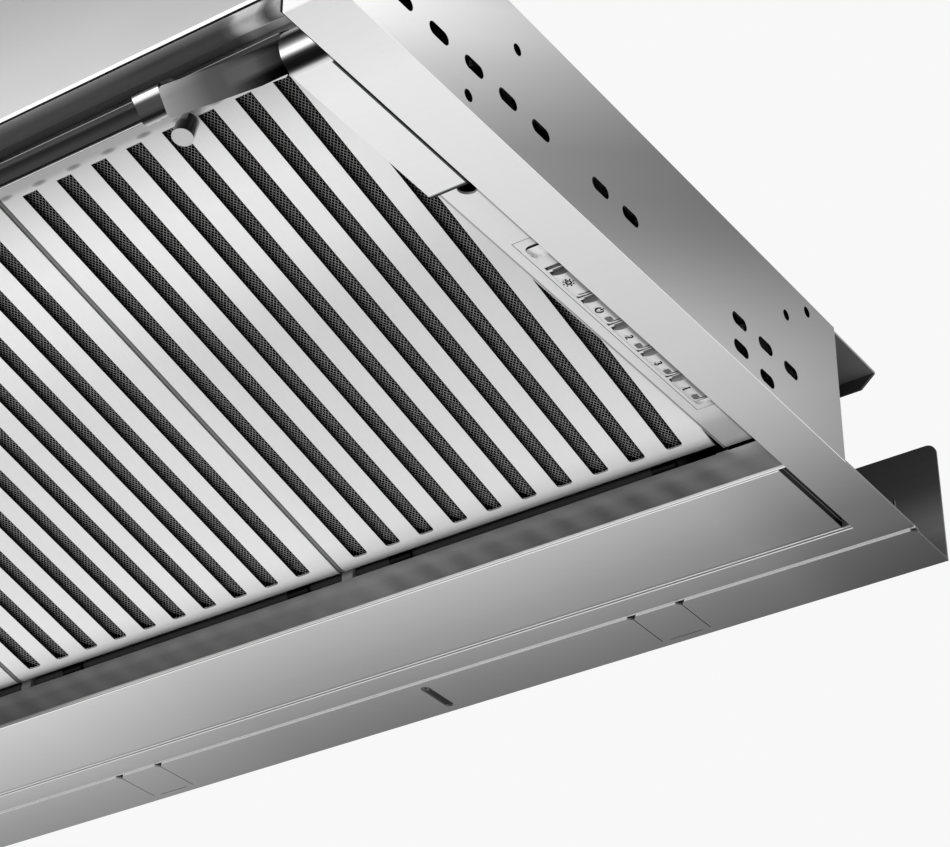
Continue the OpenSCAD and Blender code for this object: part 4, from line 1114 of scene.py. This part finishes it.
# %% [markdown]
# ## Rod and sheet in the shade
# The rod of the filters and the sheet of the visor lie deep in the hood. A mirror finish would
# catch stray light there, so both are matt and their tone alone tells where light reaches them.


# %% Rod and sheet
def rod_level(f):
    """Rod painted dark as it lies deep in the hood; beside the last filter it is painted in full
    shade.
    """
    return f.ramp(f.x.size() / MM, [(0, 66), (372, 62), (381, 8), (384, 8)])


def sheet_level(f):
    """The sheet lies in the dark; only its ends catch the light of the opening."""
    return f.ramp(
        f.x.size() / MM,
        [(322, 86), (333, 92), (340, 170), (346, 160), (354, 225), (380, 225)],
    )


dress(brushed("rod_steel_in_shade", rod_level, rough=0.8, **matt), "filter_rod")
dress(brushed("shaded_sheet", sheet_level, rough=0.7, **matt), "visor_sheet")
print("rod and sheet dressed")

# %% [markdown]
# ## Screw recesses
# Every screw head has a cross recess. It is the same small shape many times over, so Geometry
# Nodes put one on each head: the points are the centres of the heads, and one input turns the
# crosses to lie flat or to face back.

# %% Recesses on the screw heads
recess = Finish("screw_recess", Roughness=0.7)
# Painted near black, as the shade inside a recess
recess.paint(0.08 + (recess.noise((900, 900, 900)) - 0.5) * 0.03)
cross = Weave(
    "cross_recess",
    {
        "Length": ("NodeSocketFloat", 2.6 * MM),
        "Width": ("NodeSocketFloat", 0.6 * MM),
        "Depth": ("NodeSocketFloat", 0.12 * MM),
        "Turn": ("NodeSocketVector", (0, 0, 0)),
    },
)
arms = []
for across, along in (("Length", "Width"), ("Width", "Length")):
    size = cross.add(
        "ShaderNodeCombineXYZ", X=cross.get(across), Y=cross.get(along), Z=cross.get("Depth")
    )
    arms.append(cross.add("GeometryNodeMeshCube", Size=size.outputs[0]).outputs[0])
shape = cross.add("GeometryNodeJoinGeometry", Geometry=arms)
heads = cross.add(
    "GeometryNodeInstanceOnPoints",
    Points=cross.get("Geometry"),
    Instance=shape.outputs[0],
    Rotation=cross.get("Turn"),
)
cross.end(heads.outputs[0], recess.material)


def islands(node):
    """Boxes of the loose parts of a CAD node, in a fixed order."""
    bm = bmesh.new()
    bm.from_mesh(nodes[node].data)
    bmesh.ops.remove_doubles(bm, verts=bm.verts, dist=1e-6)
    left, found = set(bm.verts), []
    while left:
        group, queue = [], [left.pop()]
        while queue:
            v = queue.pop()
            group.append(v.co.copy())
            for e in v.link_edges:
                o = e.other_vert(v)
                if o in left:
                    left.remove(o)
                    queue.append(o)
        found.append((Vector(map(min, zip(*group))), Vector(map(max, zip(*group)))))
    bm.free()
    return sorted(found, key=lambda box: tuple(box[0]))


top_points, back_points = [], []
for low, high in islands("panel_screws"):
    middle = (low + high) / 2
    if high.y - low.y < high.z - low.z:
        back_points.append((middle.x, high.y, middle.z))
    else:
        top_points.append((middle.x, middle.y, high.z))
under_points = [((a.x + b.x) / 2, (a.y + b.y) / 2, a.z) for a, b in islands("strip_screws")]
for name, points, turn in (
    ("top_screw_recesses", top_points, (0, 0, 0.6)),
    ("back_screw_recesses", back_points, (math.pi / 2, 0, 0)),
    ("strip_screw_recesses", under_points, (0, 0, 0.4)),
):
    start = bpy.data.meshes.new(name + "_points")
    start.from_pydata(points, [], [])
    piece = woven(name, cross, {"Turn": turn}, start)
    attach(piece, "hood")
    print(name, len(points))

# %% [markdown]
# ## Floor
# The floor is only there to catch the hood's soft shadow from other sides. It is not part of the
# hood. A hood is mostly looked at from below, so the floor is clear when it is seen from its
# underside, and a low camera looks straight through it.

# %% Floor
bm = bmesh.new()
bmesh.ops.create_grid(bm, x_segments=1, y_segments=1, size=6)
bmesh.ops.translate(bm, verts=bm.verts, vec=(0, 0, -0.9))
mesh = bpy.data.meshes.new("floor")
bm.to_mesh(mesh)
bm.free()
floor_finish = Finish("floor_paint", Roughness=0.9)
floor_finish.paint(0.95 + (floor_finish.noise((2, 2, 2)) - 0.5) * 0.01)
tree = floor_finish.tree
under_floor = tree.nodes.new("ShaderNodeNewGeometry")
clear = tree.nodes.new("ShaderNodeBsdfTransparent")
pick = tree.nodes.new("ShaderNodeMixShader")
tree.links.new(under_floor.outputs["Backfacing"], pick.inputs[0])
tree.links.new(floor_finish.shader.outputs[0], pick.inputs[1])
tree.links.new(clear.outputs[0], pick.inputs[2])
tree.links.new(pick.outputs[0], tree.nodes["Material Output"].inputs["Surface"])
mesh.materials.append(floor_finish.material)
floor = bpy.data.objects.new("floor", mesh)
bpy.context.collection.objects.link(floor)
